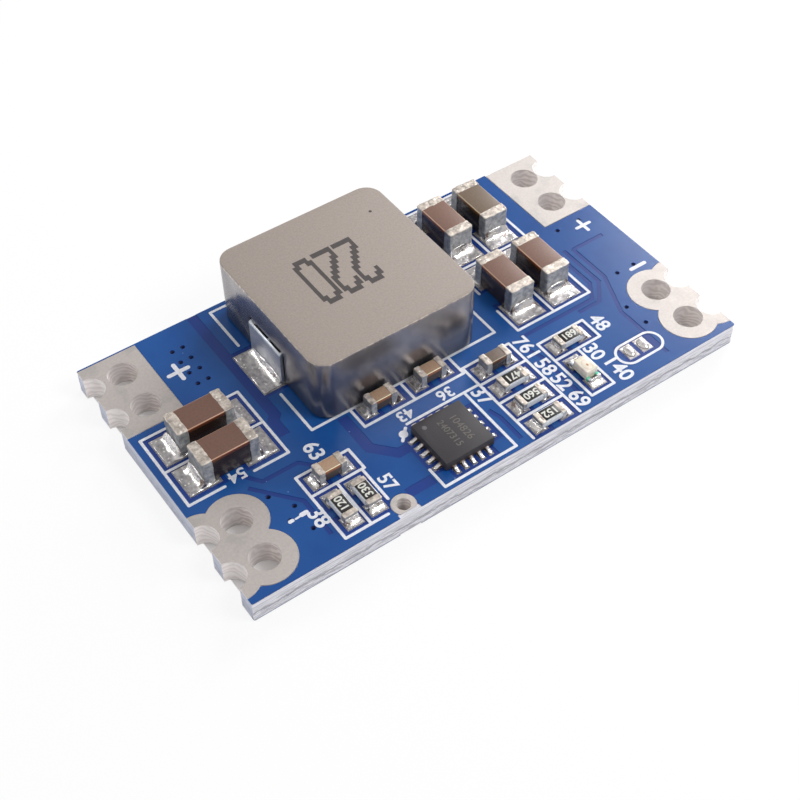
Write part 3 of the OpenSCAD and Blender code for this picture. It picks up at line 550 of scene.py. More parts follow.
def lens_finish(middle):
    """Milky resin over the light's cup and die, which show as a faint ring and a dot."""
    made = Finish("milky_lens", (232, 222, 202), 0.22)
    shifted = made.node("Mapping", {"Vector": made.place, "Location": [-v * MM for v in middle]})
    parts = made.node("SeparateXYZ", {0: shifted.outputs["Vector"]}).outputs
    across = made.times(parts["X"], 1 / (0.26 * MM))
    along = made.times(parts["Y"], 1 / (0.38 * MM))
    reach = made.reckon("SQRT", made.reckon("ADD", made.times(across, across), made.times(along, along)))
    ring = made.times(made.range(reach, 0.75, 0.95), made.range(reach, 1.15, 0.95))
    body = made.blend(made.range(made.cloud(4.0), 0.3, 0.7), (228, 219, 202), (244, 238, 224))
    body = made.blend(made.times(ring, 0.45), body, (196, 176, 150))
    made.colour(made.blend(made.range(reach, 0.3, 0.16), body, (186, 142, 100)))
    made.surface("Subsurface Weight", 0.25)
    made.surface("Subsurface Scale", 0.3 * MM)
    made.surface("Coat Weight", 0.4)
    made.relief(made.cloud(5.0), 0.004)
    return made.material


def reuse(node, material):
    """A CAD node that keeps its own shape gets a worked finish."""
    frame["nodes"][node].data.materials.clear()
    frame["nodes"][node].data.materials.append(material)


tin = tinned_finish("levelled_tin", (203, 195, 190), 0.2, 0.55, drilled=True)
lead_tin = tinned_finish("lead_strip_tin", (206, 210, 216), 0.7, 0.34)
via_tin = tinned_finish("via_tin", (92, 98, 150), 0.3, 0.5)
solder = solder_finish()
chip_end = chip_end_finish()
ink = ink_finish("white_legend_ink", (232, 233, 240))
code_ink = ink_finish("pale_code_ink", (222, 222, 214))
laser = ink_finish("laser_marking", (76, 70, 69), 0.6)


# ---------- Board ----------

HALF_L = board_high.x
HALF_W = board_high.y
# Thickness of the metal in the holes, and of the strips on the long sides
PLATING = 0.05
STRIP = 0.12
VIA_DRILL_R = 0.15
VIAS = [(x, y) for x in (-10.35, -9.73) for y in (7.05, 6.15, 5.25, 4.35)] + [
    (-11.28, -4.0), (-10.53, -5.18), (-11.15, -5.8), (-10.5, -6.8), (12.15, 2.5),
    (13.72, 2.5), (12.62, -2.1), (13.8, -2.1), (11.27, -4.4), (11.35, -5.85)]

# Holes: middle, radius and the board's end on which their half-holes lie
holes = {}
for mount in frame["record"]["mounts"]:
    if mount["kind"] == "bore":
        x, y = [value / MM for value in mount["pos_m"][:2]]
        end = -HALF_L if mount["name"].startswith("input") else HALF_L
        holes[mount["name"]] = (x, y, mount["dims"]["r_mm"], end)
enable_x, enable_y, enable_r = holes.pop("enable_hole")[:3]


def laminate():
    """Board without its copper and lacquer, drilled for the terminals and vias."""
    board = block(board_low, board_high)
    # The long sides stand back for the strips with their scored and snapped surface
    take_faces(board, lambda c, n: abs(n.y) > 0.5)
    bpy.ops.transform.resize(value=(1, 1 - STRIP / HALF_W, 1))
    done()
    round_edges(board, upright, 0.1, 3)
    low, high = board_low.z - 0.5, board_high.z + 0.5
    with_tool(board, drum(enable_x, enable_y, low, high, enable_r + PLATING))
    for x, y, r, end in holes.values():
        for at_x in (x, end):
            with_tool(board, drum(at_x, y, low, high, r + PLATING))
    with_tool(board, joined([drum(x, y, low, high, VIA_DRILL_R, 16) for x, y in VIAS]))
    return board


def snapped_side(side):
    """Strip on a long side: a smooth slanted score above, torn fibres below."""
    squeeze = 4.0
    length = 2 * HALF_L - 0.02
    tall = board_high.z - board_low.z
    nothing_selected()
    bpy.ops.mesh.primitive_grid_add(
        x_subdivisions=300, y_subdivisions=16, size=1,
        location=(0, side * (HALF_W - 0.045), (board_low.z + board_high.z) / 2),
        rotation=(math.radians(90), 0, 0))
    strip = bpy.context.object
    strip.scale = (length / squeeze, tall, 1)
    settled(strip)
    if side > 0:
        take_all(strip)
        bpy.ops.mesh.flip_normals()
        done()
    # Torn below the ridge, but not on the strip's own border
    torn = strip.vertex_groups.new(name="torn")
    smooth = strip.vertex_groups.new(name="smooth")
    ridge = board_low.z + 0.58 * tall
    for point in strip.data.vertices:
        from_end = (length / squeeze / 2 - abs(point.co.x)) / 0.05
        inside = min(1.0, from_end, (point.co.z - board_low.z) / 0.04)
        below = min(1.0, max(0.0, (ridge - point.co.z) / 0.1))
        torn.add([point.index], max(0.0, below * inside), "REPLACE")
        smooth.add([point.index], max(0.0, (1 - below) * inside), "REPLACE")
    roughen(strip, 0.085, 0.13, "Y", "torn")
    roughen(strip, 0.09, 0.2, "Z", "torn")
    roughen(strip, 0.02, 0.2, "Y", "smooth")
    # The score slants inwards to the top; a light ridge marks its lower end
    for height in range(1, 6):
        take_points(strip, lambda p: p.z > ridge + height * 0.09)
        move(y=-side * 0.012)
    take_points(strip, lambda p: p.z < board_low.z + 0.1)
    move(y=side * 0.03)
    done()
    strip.scale.x = squeeze
    settled(strip)
    apply_modifier(strip, "SOLIDIFY", thickness=STRIP, offset=-1)
    return strip


glass_laminate = laminate_finish()
long_sides = joined([snapped_side(-1), snapped_side(1)])
board = laminate()
finish(board, "board_panel", glass_laminate, "laminate", "pcb_laminate", angle=30)
finish(long_sides, "board_snapped_sides", glass_laminate, "laminate", "pcb_laminate", angle=60)
reuse("solder_mask_top", solder_mask_finish("blue_solder_mask", True))
reuse("solder_mask_bottom", solder_mask_finish("blue_solder_mask_back", False))
reuse("via_barrels", via_tin)
reuse("component_lands", solder)


# ---------- Terminals ----------

DISC_R, HALF_DISC_R = 1.58, 1.5


def plated(node, drilled, pad):
    """Pads on both faces and the metal in the holes, cut to the board and drilled."""
    low, high = box_mm(node)
    plates = joined([pad(0.0, board_low.z), pad(board_high.z, TOP + 0.02)])
    for x, y, r in drilled:
        barrel = drum(x, y, board_low.z - 0.01, board_high.z + 0.01, r + PLATING, 64)
        with_tool(plates, barrel, "UNION")
    with_tool(plates, block((low.x, low.y, -1), (high.x, high.y, 3)), "INTERSECT")
    with_tool(plates, joined([drum(x, y, -1, 3, r, 64) for x, y, r in drilled]))
    merge_points(plates, 0.001)
    soften(plates, 0.045, 2, 50)
    return plates


def terminal(name, pad):
    node = name + "_terminal"
    drilled = [hole for mount, hole in holes.items() if mount.startswith(name)]
    points = [(x, y, r) for x, y, r, end in drilled] + [(end, y, r) for x, y, r, end in drilled]
    metal = plated(node, points, lambda bottom, top: pad(node, drilled, bottom, top))
    finish(metal, name + "_tinned", tin, "tinned_copper", node, angle=20)


def plus_pad(node, drilled, bottom, top):
    low, high = box_mm(node)
    return block((low.x, low.y, bottom), (high.x, high.y, top))


def minus_pad(node, drilled, bottom, top):
    """Discs round the holes and the half-holes, joined by a plate between them."""
    rings = []
    for x, y, r, end in drilled:
        rings += [drum(x, y, bottom, top, DISC_R, 72), drum(end, y, bottom, top, HALF_DISC_R, 72)]
    middles = [y for x, y, r, end in drilled]
    x, end = drilled[0][0], drilled[0][3]
    pad = block((min(x, end), min(middles), bottom), (max(x, end), max(middles), top))
    for ring in rings:
        with_tool(pad, ring, "UNION")
    return pad


for side in ("input", "output"):
    terminal(side + "_plus", plus_pad)
    terminal(side + "_minus", minus_pad)


def enable_ring(bottom, top):
    """Ring on one face, round the small plated hole."""
    low, high = box_mm("enable_hole_plating")
    return drum(enable_x, enable_y, max(bottom, low.z), min(top, high.z), high.x - enable_x, 64)


finish(plated("enable_hole_plating", [(enable_x, enable_y, enable_r)], enable_ring),
       "enable_hole_tinned", tin, "tinned_copper", "enable_hole_plating", angle=20)


# ---------- Solder ----------

def fillet(reach, inside, width, rise, run, chip_w):
    """Solder on one land, with the chip's end at x = 0: a pillow on the land that climbs
    the chip's end in a hollow slope."""
    bed = block((-inside, -width / 2, 0), (reach, width / 2, SEAT - LAND_TOP))
    slope = [(0.0, 1.0), (0.2 * run, 0.55), (0.5 * run, 0.2), (run, 0.03)]
    cut_across(bed, 0, [-0.08] + [x for x, share in slope] + [reach - 0.08])
    cut_across(bed, 1, [-width / 2 + 0.07, -chip_w / 2 + 0.04, -chip_w * 0.2, chip_w * 0.2,
                        chip_w / 2 - 0.04, width / 2 - 0.07])
    for x, share in slope:
        take_points(bed, lambda p: near(p.x, x) and p.z > 0.01 and abs(p.y) < chip_w / 2)
        move(z=rise * share)
        take_points(bed, lambda p: near(p.x, x) and p.z > 0.01 and abs(p.y) < chip_w * 0.3)
        move(z=rise * share * 0.12)
    done()
    melt(bed, 2)
    return bed


def at_both_ends(template, node, height, depth, grain, ragged=False):
    """Uneven copies of a template at both ends of a chip. Ragged ones differ in length too."""
    low, high = box_mm(node)
    middle = (low + high) / 2
    half_l = max(high.x - low.x, high.y - low.y) / 2
    along_x = lies_along_x(low, high)
    copies = []
    for turn in (0, 180) if along_x else (90, 270):
        angle = math.radians(turn)
        place = (middle.x + half_l * math.cos(angle), middle.y + half_l * math.sin(angle), height)
        piece = copy_of(template, place, turn)
        roughen(piece, depth, grain)
        if ragged:
            roughen(piece, depth * 1.6, grain * 0.9, "X" if along_x else "Y")
        copies.append(piece)
    return copies


def solder_on(nodes, depth, grain, **form):
    template = fillet(**form)
    pieces = [piece for node in nodes
              for piece in at_both_ends(template, node, LAND_TOP, depth, grain)]
    scrap(template)
    return pieces


BIG_CHIPS = [f"{side}_capacitor_{i}_ends" for side, count in (("input", 2), ("output", 4))
             for i in range(1, count + 1)]
SMALL_CHIPS = [f"small_capacitor_{i}_ends" for i in range(1, 5)]
RESISTORS = [f"resistor_{i}_ends" for i in range(1, 7)]

big_solder = solder_on(BIG_CHIPS, 0.12, 0.42,
                       reach=0.87, inside=0.8, width=1.8, rise=0.62, run=0.5, chip_w=1.6)
small_solder = solder_on(SMALL_CHIPS, 0.07, 0.24,
                         reach=0.37, inside=0.33, width=0.88, rise=0.38, run=0.28, chip_w=0.8)
flat_solder = solder_on(RESISTORS + ["indicator_terminals"], 0.06, 0.22,
                        reach=0.37, inside=0.33, width=0.88, rise=0.3, run=0.28, chip_w=0.8)

lead_fillet = fillet(reach=1.06, inside=2.0, width=3.05, rise=0.5, run=0.45, chip_w=2.9)
inductor_middle = (core_low + core_high) / 2
lead_out = (core_high.x - core_low.x) / 2 + LEAD_PROUD
lead_solder = []
for side, turn in ((1, 0), (-1, 180)):
    place = (inductor_middle.x + side * lead_out, inductor_middle.y, LAND_TOP)
    lead_solder.append(copy_of(lead_fillet, place, turn))
    roughen(lead_solder[-1], 0.15, 0.55)


def pin_heel():
    """Solder in front of one controller lead, with the package's side at x = 0."""
    heel = block((-0.25, -0.12, 0), (0.38, 0.12, SEAT - LAND_TOP))
    cut_across(heel, 0, [-0.03, 0.0, 0.12, 0.24])
    for x, reach, rise in ((0.0, 0.04, 0.17), (0.12, 0.01, 0.14), (0.24, 0.01, 0.07)):
        take_points(heel, lambda p: abs(p.x - x) < reach and p.z > 0.01)
        move(z=rise)
    done()
    melt(heel, 2)
    return heel


package_low, package_high = box_mm("controller_package")
package_middle = (package_low + package_high) / 2
PACKAGE_HALF = (package_high.x - package_low.x) / 2
LEAD_PITCH = 0.5
heel = pin_heel()
heels = []
for turn in (0, 90, 180, 270):
    angle = math.radians(turn)
    out = Vector((math.cos(angle), math.sin(angle), 0))
    along = Vector((-out.y, out.x, 0))
    for i in range(-2, 3):
        place = package_middle + out * PACKAGE_HALF + along * i * LEAD_PITCH
        heels.append(copy_of(heel, (place.x, place.y, LAND_TOP), turn))
        roughen(heels[-1], 0.03, 0.12)


def dome(x, y, length, width, height):
    """Pad filled with a low pillow of solder."""
    pillow = plate(x, y, length, width, LAND_TOP, LAND_TOP + 0.03)
    take_faces(pillow, lambda c, n: n.z > 0.5)
    for share in (0.7, 0.3):
        bpy.ops.mesh.inset(thickness=0.12, depth=height * share)
    done()
    melt(pillow, 3)
    return pillow


domes = [dome(9.67 + side * 0.465, -6.95, length=0.62, width=0.88, height=0.13) for side in (-1, 1)]
scrap(lead_fillet, heel)
for pieces, name in ((big_solder + lead_solder, "large_solder_fillets"),
                     (small_solder + flat_solder, "small_solder_fillets"),
                     (heels + domes, "controller_solder_heels")):
    finish(joined(pieces), name, solder, "solder", "solder_joints", angle=180)


# ---------- Inductor ----------

def core():
    """Pressed block with rounded corners and a recess for each lead."""
    form = block(core_low, (core_high.x, core_high.y, core_high.z - 0.004))
    round_edges(form, upright, 1.0, 10)
    half = (lead_high.y - lead_low.y) / 2 + 0.15
    for side, face in ((-1, core_low.x), (1, core_high.x)):
        # Up the side for the lead's strip, then under the core for its foot
        for depth, height in ((0.3, lead_high.z + 0.1), (2.35, SEAT + 0.2)):
            left, right = sorted((face - side * depth, face + side))
            with_tool(form, block((left, LEAD_MIDDLE - half, 0), (right, LEAD_MIDDLE + half, height)))
    soften(form, 0.14, 3, 35)
    return form


def lead(side):
    """Strip folded from the core's side down and under it, with two slots in its upper bend."""
    thick = 0.2
    face = core_high.x + LEAD_PROUD if side > 0 else core_low.x - LEAD_PROUD
    low, high = lead_low, lead_high
    left, right = sorted((face - side * thick, face))
    strip = block((left, low.y, low.z), (right, high.y, high.z))
    cut_across(strip, 2, [low.z + thick, high.z - thick])
    take_faces(strip, lambda c, n: n.x * side < -0.5 and c.z > high.z - thick)
    bpy.ops.mesh.extrude_region_move(TRANSFORM_OT_translate={"value": (-side * 0.6, 0, 0)})
    take_faces(strip, lambda c, n: n.x * side < -0.5 and c.z < low.z + thick and abs(c.x - face) < 0.5)
    bpy.ops.mesh.extrude_region_move(TRANSFORM_OT_translate={"value": (-side * 2.0, 0, 0)})
    done()

    def outer_bend(a, b):
        crosswise = near(a.x, b.x) and near(a.z, b.z)
        return crosswise and near(a.x, face) and (near(a.z, low.z) or near(a.z, high.z))

    round_edges(strip, outer_bend, 0.28, 6)
    left, right = sorted((face - side * 0.12, face - side * 0.42))
    for start, end in ((-1.35, -0.35), (-0.15, 1.05)):
        with_tool(strip, block((left, LEAD_MIDDLE + start, high.z - 0.45),
                               (right, LEAD_MIDDLE + end, high.z + 1)))
    soften(strip, 0.025, 2, 40)
    return strip


DIGIT_STROKES = {
    "2": [(0, 0.84), (0.2, 1), (0.8, 1), (1, 0.84), (1, 0.66), (0, 0.12), (0, 0), (1, 0)],
    "0": [(0.2, 0), (0, 0.14), (0, 0.86), (0.2, 1), (0.8, 1), (1, 0.86), (1, 0.14), (0.8, 0), (0.2, 0)],
}


def burnt_cells(digit, glyph_w, glyph_h, cell):
    """Cells of the raster that a digit's strokes pass through."""
    strokes = [Vector((x * glyph_w, y * glyph_h)) for x, y in DIGIT_STROKES[digit]]
    steps = 24
    cells = []
    for a, b in zip(strokes, strokes[1:]):
        for step in range(steps + 1):
            spot = a.lerp(b, step / steps)
            spot = (round(spot.x / cell.x), round(spot.y / cell.y))
            if spot not in cells:
                cells.append(spot)
    return cells


def marking(number, right, top, glyph_w, glyph_h, gap):
    """Number burnt into the core on a coarse raster. It reads from the board's back."""
    cell = Vector((0.19, 0.33))
    burn = core_high.z - 0.02
    dot = block((-0.11, -0.17, burn), (0.11, 0.17, core_high.z))
    dots = []
    for place, digit in enumerate(number):
        start = Vector((right - place * (glyph_w + gap), top))
        for column, row in burnt_cells(digit, glyph_w, glyph_h, cell):
            sunk = 0.001 * ((column + row) % 4)
            dots.append(copy_of(dot, (start.x - column * cell.x, start.y - row * cell.y, -sunk)))
    scrap(dot)
    # A stray spot of the burn beside the number
    dots.append(drum(1.9, 6.3, burn, core_high.z, 0.09, 12))
    return joined(dots)


finish(core(), "inductor_pressed_core", core_finish(), "pressed_core", "inductor_core", angle=40)
finish(lead(-1), "inductor_lead_left", lead_tin, "tinned_strip", "inductor_input_lead", angle=40)
finish(lead(1), "inductor_lead_right", lead_tin, "tinned_strip", "inductor_output_lead", angle=40)
finish(marking("220", right=-0.28, top=5.16, glyph_w=0.95, glyph_h=3.3, gap=0.32),
       "inductor_marking", laser, "pressed_core", angle=30)


# ---------- Capacitors ----------

def ceramic_block(node, r):
    """Body of a capacitor. Its ends stay hidden in the end caps."""
    low, high = box_mm(node)
    hidden = Vector((0.2, 0, 0)) if lies_along_x(low, high) else Vector((0, 0.2, 0))
    body = block(low + hidden, high - hidden)
    soften(body, r, 3)
    return body


def end_cap(length, width, height, r, levels):
    """One end cap with its outer end at x = 0, pointing along +X, sitting on z = 0. The outer
    corners are round, and the inner border is tight round the ceramic."""
    cap = block((-length, -width / 2, 0), (0, width / 2, height))
    cut_across(cap, 0, [-length + 0.04, -length * 0.5, -r])
    cut_across(cap, 1, [-width / 2 + r * 0.5, 0, width / 2 - r * 0.5])
    cut_across(cap, 2, [r * 0.5, height * 0.5, height - r * 0.4])
    melt(cap, levels)
    return cap


def capacitor(ends, template, fired, slot, depth, grain, r):
    """Ceramic block with edges rounded by r, and a rough cap at each end."""
    kind = ends.replace("_ends", "")
    finish(ceramic_block(kind, r), kind + "_ceramic", fired, slot, kind, angle=35)
    caps = at_both_ends(template, ends, box_mm(ends)[0].z, depth, grain, ragged=True)
    finish(joined(caps), kind + "_end_caps", chip_end, "chip_ends", ends, angle=60)


big_top = box_mm("input_capacitor_1")[1].z
small_top = box_mm("small_capacitor_1")[1].z
brown = ceramic_finish("brown", (110, 80, 68), big_top)
rosy = ceramic_finish("rosy", (122, 92, 80), big_top)
olive = ceramic_finish("olive", (112, 95, 80), big_top)
tan = ceramic_finish("tan", (168, 138, 114), small_top)
grey = ceramic_finish("grey", (112, 97, 86), small_top)
big_end = end_cap(length=0.56, width=1.58, height=1.58, r=0.26, levels=3)
small_end = end_cap(length=0.35, width=0.79, height=0.79, r=0.13, levels=2)
for ends in BIG_CHIPS:
    low = box_mm(ends)[0]
    at_back_right = low.x > 8 and low.y > 4
    fired = brown if "input" in ends else olive if at_back_right else rosy
    capacitor(ends, big_end, fired, "brown_ceramic", 0.05, 0.4, 0.07)
for ends in SMALL_CHIPS[:-1]:
    capacitor(ends, small_end, tan, "tan_ceramic", 0.035, 0.22, 0.04)
capacitor(SMALL_CHIPS[-1], small_end, grey, "grey_ceramic", 0.035, 0.22, 0.04)
scrap(big_end, small_end)


# ---------- Resistors ----------

def writing(text, size, place, turn, thick, weight):
    """Upright figures lying flat, centred on a place."""
    nothing_selected()
    bpy.ops.object.text_add(location=place, rotation=(0, 0, math.radians(turn)))
    words = bpy.context.object
    words.data.body = text
    words.data.size = size
    words.data.align_x = "CENTER"
    words.data.align_y = "CENTER"
    words.data.extrude = thick / 2
    words.data.offset = size * weight
    words.data.resolution_u = 4
    only(words)
    bpy.ops.object.convert(target="MESH")
    return settled(bpy.context.object)


alumina = moulded_finish("white_alumina", (214, 218, 226), 0.5, 0.2)
coat_black = moulded_finish("black_resistor_glaze", (36, 33, 34), 0.32, 0.2)


def slab(node, r):
    """Box of a CAD node with its edges rounded."""
    piece = block(*box_mm(node))
    soften(piece, r, 2)
    return piece


def resistor(kind, code):
    ends = kind + "_ends"
    finish(slab(kind, 0.02), kind + "_plate", alumina, "alumina", kind, angle=35)
    finish(slab(kind + "_coat", 0.03), kind + "_glaze", coat_black, "resistor_coat",
           kind + "_coat", angle=35)
    low, high = box_mm(ends)
    cap = end_cap(length=0.3, width=0.8, height=high.z - low.z, r=0.1, levels=2)
    caps = at_both_ends(cap, ends, low.z, 0.03, 0.2)
    scrap(cap)
    finish(joined(caps), kind + "_end_caps", chip_end, "chip_ends", ends, angle=60)
    middle = (low + high) / 2
    on_coat = (middle.x, middle.y, box_mm(kind + "_coat")[1].z + 0.003)
    turn = 180 if lies_along_x(low, high) else 90
    figures = writing(code, 0.6, on_coat, turn, 0.006, 0.022)
    finish(figures, kind + "_code", code_ink, "resistor_coat", angle=30)


for number, code in enumerate(("120", "330", "471", "560", "152", "681"), 1):
    resistor(f"resistor_{number}", code)


# ---------- Indicator light ----------

light_low, light_high = box_mm("indicator_lens")
base_low, base_high = box_mm("indicator_base")
tips_low, tips_high = box_mm("indicator_terminals")
light_middle = (light_low + light_high) / 2

# The base is green only at one end, where it lies open beside the notch
body = block((base_low.x, light_low.y, base_low.z), base_high)
soften(body, 0.02, 2)
finish(body, "indicator_cream_base", moulded_finish("cream_base_resin", (228, 218, 200), 0.4, 0.0),
       "indicator_base", "indicator_base", angle=35)
green_end = block(base_low, (base_high.x, light_low.y, base_high.z + 0.03))
with_tool(green_end, drum(light_middle.x, base_low.y, 0, 4, 0.27, 32))
soften(green_end, 0.015, 2)
finish(green_end, "indicator_green_end", moulded_finish("green_base_resin", (96, 214, 176), 0.4, 0.0),
       "indicator_base", "indicator_base", angle=35)

lens = block((light_low.x, light_low.y, base_high.z - 0.02), light_high)
take_faces(lens, lambda c, n: n.z > 0.5)
bpy.ops.transform.resize(value=(0.95, 0.96, 1))
done()
soften(lens, 0.06, 3)
finish(lens, "indicator_milky_lens", lens_finish(light_middle + Vector((0, -0.12, 0))), "lens",
       "indicator_lens", angle=40)

light_ends = []
for side in (-1, 1):
    end = tips_high.y if side > 0 else tips_low.y
    inner, outer = sorted((end - side * (0.3 if side > 0 else 0.12), end))
    tip = block((tips_low.x, inner, tips_low.z), (tips_high.x, outer, tips_high.z))
    with_tool(tip, drum(light_middle.x, end, 0, 4, 0.2, 32))
    soften(tip, 0.02, 2)
    light_ends.append(tip)
finish(joined(light_ends), "indicator_end_tips", lead_tin, "tinned_strip", "indicator_terminals", angle=40)


# ---------- Controller ----------

DIMPLE = (package_low.x + 0.5, package_high.y - 0.5)


def package():
    """Moulded body, with a dimple at its first lead."""
    body = block((package_low.x + 0.012, package_low.y + 0.012, package_low.z),
                 (package_high.x - 0.012, package_high.y - 0.012, package_high.z))
    soften(body, 0.035, 2)
    with_tool(body, drum(*DIMPLE, package_high.z - 0.02, package_high.z + 1, 0.13, 32))
    return body


finish(package(), "controller_moulding", moulded_finish("dark_moulding_compound", (52, 49, 52), 0.55, 0.25),
       "package", "controller_package", angle=35)
dimple_floor = drum(*DIMPLE, package_high.z - 0.03, package_high.z - 0.008, 0.128, 32)
finish(dimple_floor, "controller_dimple_floor", moulded_finish("paler_compound", (104, 100, 102), 0.5, 0.1),
       "package", angle=35)
numbers = [writing(text, size, (x, -6.28, package_high.z + 0.001), -90, 0.006, 0.0)
           for text, size, x in (("104826", 0.6, -1.36), ("2407315", 0.54, -2.08))]
finish(joined(numbers), "controller_numbers", ink_finish("faint_laser_marking", (106, 101, 96), 0.6),
       "package", angle=30)
reuse("controller_leads", tinned_finish("copper_lead_ends", (186, 134, 96), 0.8, 0.35))


# ---------- Legend ----------

def stroke(x0, y0, x1, y1, width=0.155, thick=0.015):
    """Printed line with round ends."""
    a, b = Vector((x0, y0, 0)), Vector((x1, y1, 0))
    length = (b - a).length
    line = block((-width / 2, -width / 2, -0.2 * thick), (length + width / 2, width / 2, thick))
    round_edges(line, upright, width * 0.49, 4)
    line.location = (x0, y0, TOP)
    line.rotation_euler.z = math.atan2(y1 - y0, x1 - x0)
    return settled(line)


LINES = [
    # Inductor
    (-7.28, 8.38, -7.28, 5.4), (-7.28, 1.2, -7.28, -1.72), (-7.28, -1.72, 4.3, -1.72),
    (4.3, -1.72, 4.3, 1.2), (4.3, 5.4, 4.3, 8.38), (-7.28, 8.38, 4.3, 8.38),
    # Input capacitors
    (-14.65, 2.65, -9.0, 2.65), (-14.65, 2.65, -14.65, -2.25), (-9.0, 2.65, -9.0, -2.25),
    (-14.65, -2.25, -12.65, -2.25), (-10.97, -2.25, -9.0, -2.25), (-14.65, 0.18, -9.0, 0.18),
    # Output capacitors
    (5.4, 8.5, 5.4, 1.04), (5.4, -0.56, 5.4, -2.35), (7.88, 8.5, 7.88, -2.35), (10.38, 8.5, 10.38, -2.35),
    (5.4, -2.35, 10.38, -2.35), (5.4, 3.12, 10.38, 3.12), (5.4, 8.5, 10.38, 8.5),
    # Feedback parts beside the enable hole
    (-9.6, -3.82, -6.5, -3.82), (-9.6, -5.22, -6.5, -5.22), (-9.6, -3.82, -9.6, -8.2),
    (-6.5, -3.82, -6.5, -5.22), (-8.13, -5.22, -8.13, -8.13), (-6.65, -5.22, -6.65, -7.45),
    (-9.6, -8.2, -7.15, -8.2),
    # Small capacitors under the inductor
    (-5.0, -1.72, -5.0, -3.1), (-1.88, -1.72, -1.88, -3.1), (1.2, -1.72, 1.2, -3.1),
    (-5.0, -3.1, 1.2, -3.1),
    # Column of small chips
    (1.3, -2.8, 4.4, -2.8), (1.35, -4.27, 4.42, -4.27), (1.35, -2.8, 1.4, -8.6),
    (4.4, -2.8, 4.42, -8.6), (1.4, -5.83, 4.42, -5.83), (1.4, -7.25, 4.42, -7.25),
    # Last resistor and the indicator light
    (5.6, -3.75, 8.68, -3.75), (5.6, -5.2, 8.68, -5.2), (5.6, -3.75, 5.6, -8.15),
    (8.68, -3.75, 8.68, -5.2), (7.1, -5.2, 7.1, -8.15), (5.6, -8.15, 7.1, -8.15),
    # Controller
    (-3.98, -7.2, -3.98, -8.48), (-3.98, -8.48, 0.4, -8.48), (0.4, -8.48, 0.4, -4.18),
    (-3.2, -4.18, 1.3, -4.18),
]


SIGNS = [
    # Plus signs of the input and the output
    (-11.34, 5.62, -10.22, 5.62, 0.24), (-10.78, 6.18, -10.78, 5.06, 0.24, 0.0125),
    (13.16, 2.0, 14.08, 2.0, 0.2), (13.62, 2.46, 13.62, 1.54, 0.2, 0.0125),
    # Minus sign of the output
    (13.42, -2.35, 14.38, -2.35, 0.23),
    # Minus sign of the input, half worn away
    (-11.22, -5.87, -11.08, -5.87, 0.2, 0.008), (-10.9, -5.88, -10.62, -5.86, 0.11, 0.008),
    (-10.54, -5.84, -10.28, -5.83, 0.25),
]

# Plain numbers beside the parts: figures, place, and turn and size where they differ
NUMBERS = [
    ("54", -11.8, -1.97, 180, 0.95), ("63", -7.97, -2.9), ("38", -9.98, -6.45),
    ("57", -6.1, -6.6, -90, 1.0), ("43", -2.92, -3.6, 180, 0.95), ("36", -0.42, -3.64, 180, 0.95),
    ("761", 4.95, -3.6), ("37", 1.0, -4.88), ("58", 4.92, -5.22), ("52", 4.92, -6.5),
    ("69", 4.92, -7.92), ("48", 9.28, -4.42), ("30", 7.66, -5.88), ("140", 7.94, -7.5, -90, 1.2),
]


def jumper_frame(x, y, length, width, line=0.145):
    """Plate with round ends, hollowed out to a printed line."""
    outline = plate(x, y, length, width, TOP, TOP + 0.015)
    round_edges(outline, upright, width * 0.49, 8)
    length, width = length - 2 * line, width - 2 * line
    hollow = plate(x, y, length, width, TOP - 1, TOP + 1)
    round_edges(hollow, upright, width * 0.49, 8)
    return with_tool(outline, hollow)


def place_number(text, x, y, turn=-90, size=1.15):
    thick = 0.01
    return writing(text, size, (x, y, TOP + thick / 2), turn, thick, 0.022)


# Lines that cross differ a little in thickness, as the ink does
legend = [stroke(*line, thick=0.0115 + 0.0003 * (i % 10)) for i, line in enumerate(LINES)]
legend += [stroke(*sign) for sign in SIGNS]
# First-lead mark beside the controller
legend += [drum(-3.72, -4.62, TOP, TOP + 0.013, 0.24, 24), stroke(-4.0, -4.95, -3.4, -4.35, 0.17)]
legend.append(jumper_frame(9.8, -7.05, 3.0, 1.5))
legend += [place_number(*number) for number in NUMBERS]
finish(joined(legend), "white_legend", ink, "legend", "legend_top", angle=30)


# ---------- Studio ----------

def studio_floor():
    """Plain pale floor that still takes the board's shadow."""
    nothing_selected()
    bpy.ops.mesh.primitive_plane_add(size=3.0, location=(0, 0, -0.00002))
    floor = bpy.context.object
    floor.name = "studio_floor"
    made = Finish("pale_floor", (243, 243, 243), 0.9)
    made.colour((0.9, 0.9, 0.9, 1))
    made.surface("Specular IOR Level", 0.1)
    # Seen directly or mirrored it glows white, except under the board, where the holes
    # show it in shadow
    beyond = [made.reckon("GREATER_THAN", made.reckon("ABSOLUTE", made.along(axis)), (half - 0.3) * MM)
              for axis, half in (("X", HALF_L), ("Y", HALF_W))]
    white = made.times(made.reckon("MAXIMUM", *beyond), 0.85)
    ray = made.node("LightPath").outputs
    seen = made.reckon("MAXIMUM", ray["Is Camera Ray"], ray["Is Glossy Ray"])
    glow = made.node("Emission")
    mix = made.node("MixShader", {0: made.times(seen, white), 1: made.shader.outputs[0],
                                  2: glow.outputs[0]})
    made.plug(mix.outputs[0], made.tree.nodes["Material Output"].inputs["Surface"])
    floor.data.materials.append(made.material)


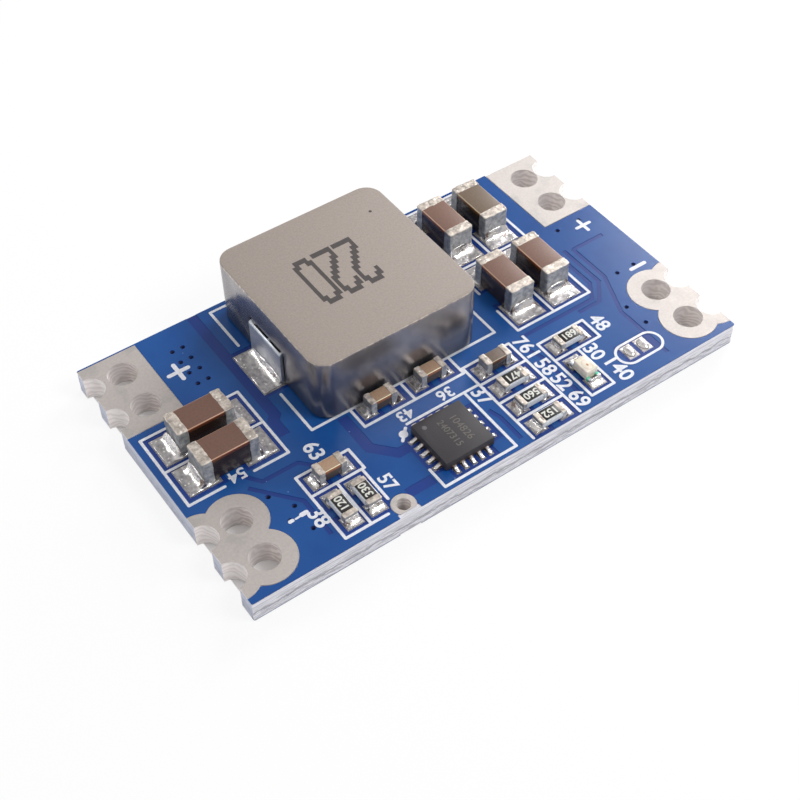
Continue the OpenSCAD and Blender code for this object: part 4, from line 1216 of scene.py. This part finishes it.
def studio_world():
    """Soft light from all round, stronger from above. The camera sees plain white."""
    world = bpy.data.worlds.new("studio")
    bpy.context.scene.world = world
    world.use_nodes = True
    nodes, links = world.node_tree.nodes, world.node_tree.links
    sky = nodes["Background"]
    coords = nodes.new("ShaderNodeTexCoord")
    parts = nodes.new("ShaderNodeSeparateXYZ")
    ramp = nodes.new("ShaderNodeValToRGB")
    below, above = ramp.color_ramp.elements
    below.position, below.color = 0.0, (0.3, 0.3, 0.31, 1)
    above.position, above.color = 0.8, (0.57, 0.57, 0.57, 1)
    white = nodes.new("ShaderNodeBackground")
    white.inputs["Color"].default_value = (1, 1, 1, 1)
    ray = nodes.new("ShaderNodeLightPath")
    mix = nodes.new("ShaderNodeMixShader")
    for output, socket in ((coords.outputs["Generated"], parts.inputs[0]),
                           (parts.outputs["Z"], ramp.inputs[0]),
                           (ramp.outputs[0], sky.inputs["Color"]),
                           (ray.outputs["Is Camera Ray"], mix.inputs[0]),
                           (sky.outputs[0], mix.inputs[1]),
                           (white.outputs[0], mix.inputs[2]),
                           (mix.outputs[0], nodes["World Output"].inputs["Surface"])):
        links.new(output, socket)


def soft_lamp(name, place, size, power):
    """Square lamp that points at the middle of the board."""
    lamp = bpy.data.lights.new(name, "AREA")
    lamp.shape = "SQUARE"
    lamp.size = size
    lamp.energy = power
    piece = bpy.data.objects.new(name, lamp)
    bpy.context.scene.collection.objects.link(piece)
    piece.location = place
    piece.rotation_euler = (-Vector(place)).to_track_quat("-Z", "Y").to_euler()


def camera():
    turn, height, roll = [math.radians(angle) for angle in (-35.024, 49.087, -0.509)]
    place = Vector((-29.107, -40.570, 54.826)) * MM
    lens = bpy.data.cameras.new("camera")
    lens.sensor_width = 36
    lens.lens = 62.336
    lens.clip_start = 0.001
    lens.clip_end = 10
    piece = bpy.data.objects.new("camera", lens)
    bpy.context.scene.collection.objects.link(piece)
    look = (Matrix.Rotation(turn, 4, "Z") @ Matrix.Rotation(math.radians(90) - height, 4, "X")
            @ Matrix.Rotation(roll, 4, "Z"))
    piece.matrix_world = Matrix.Translation(place) @ look
    bpy.context.scene.camera = piece


studio_floor()
studio_world()
soft_lamp("right_softbox", (0.095, 0.042, 0.054), 0.045, 0.085)
soft_lamp("front_softbox", (0.08, -0.09, 0.14), 0.07, 0.15)
soft_lamp("back_softbox", (-0.075, 0.062, 0.042), 0.035, 0.015)
camera()
bpy.context.scene.view_settings.view_transform = "Standard"
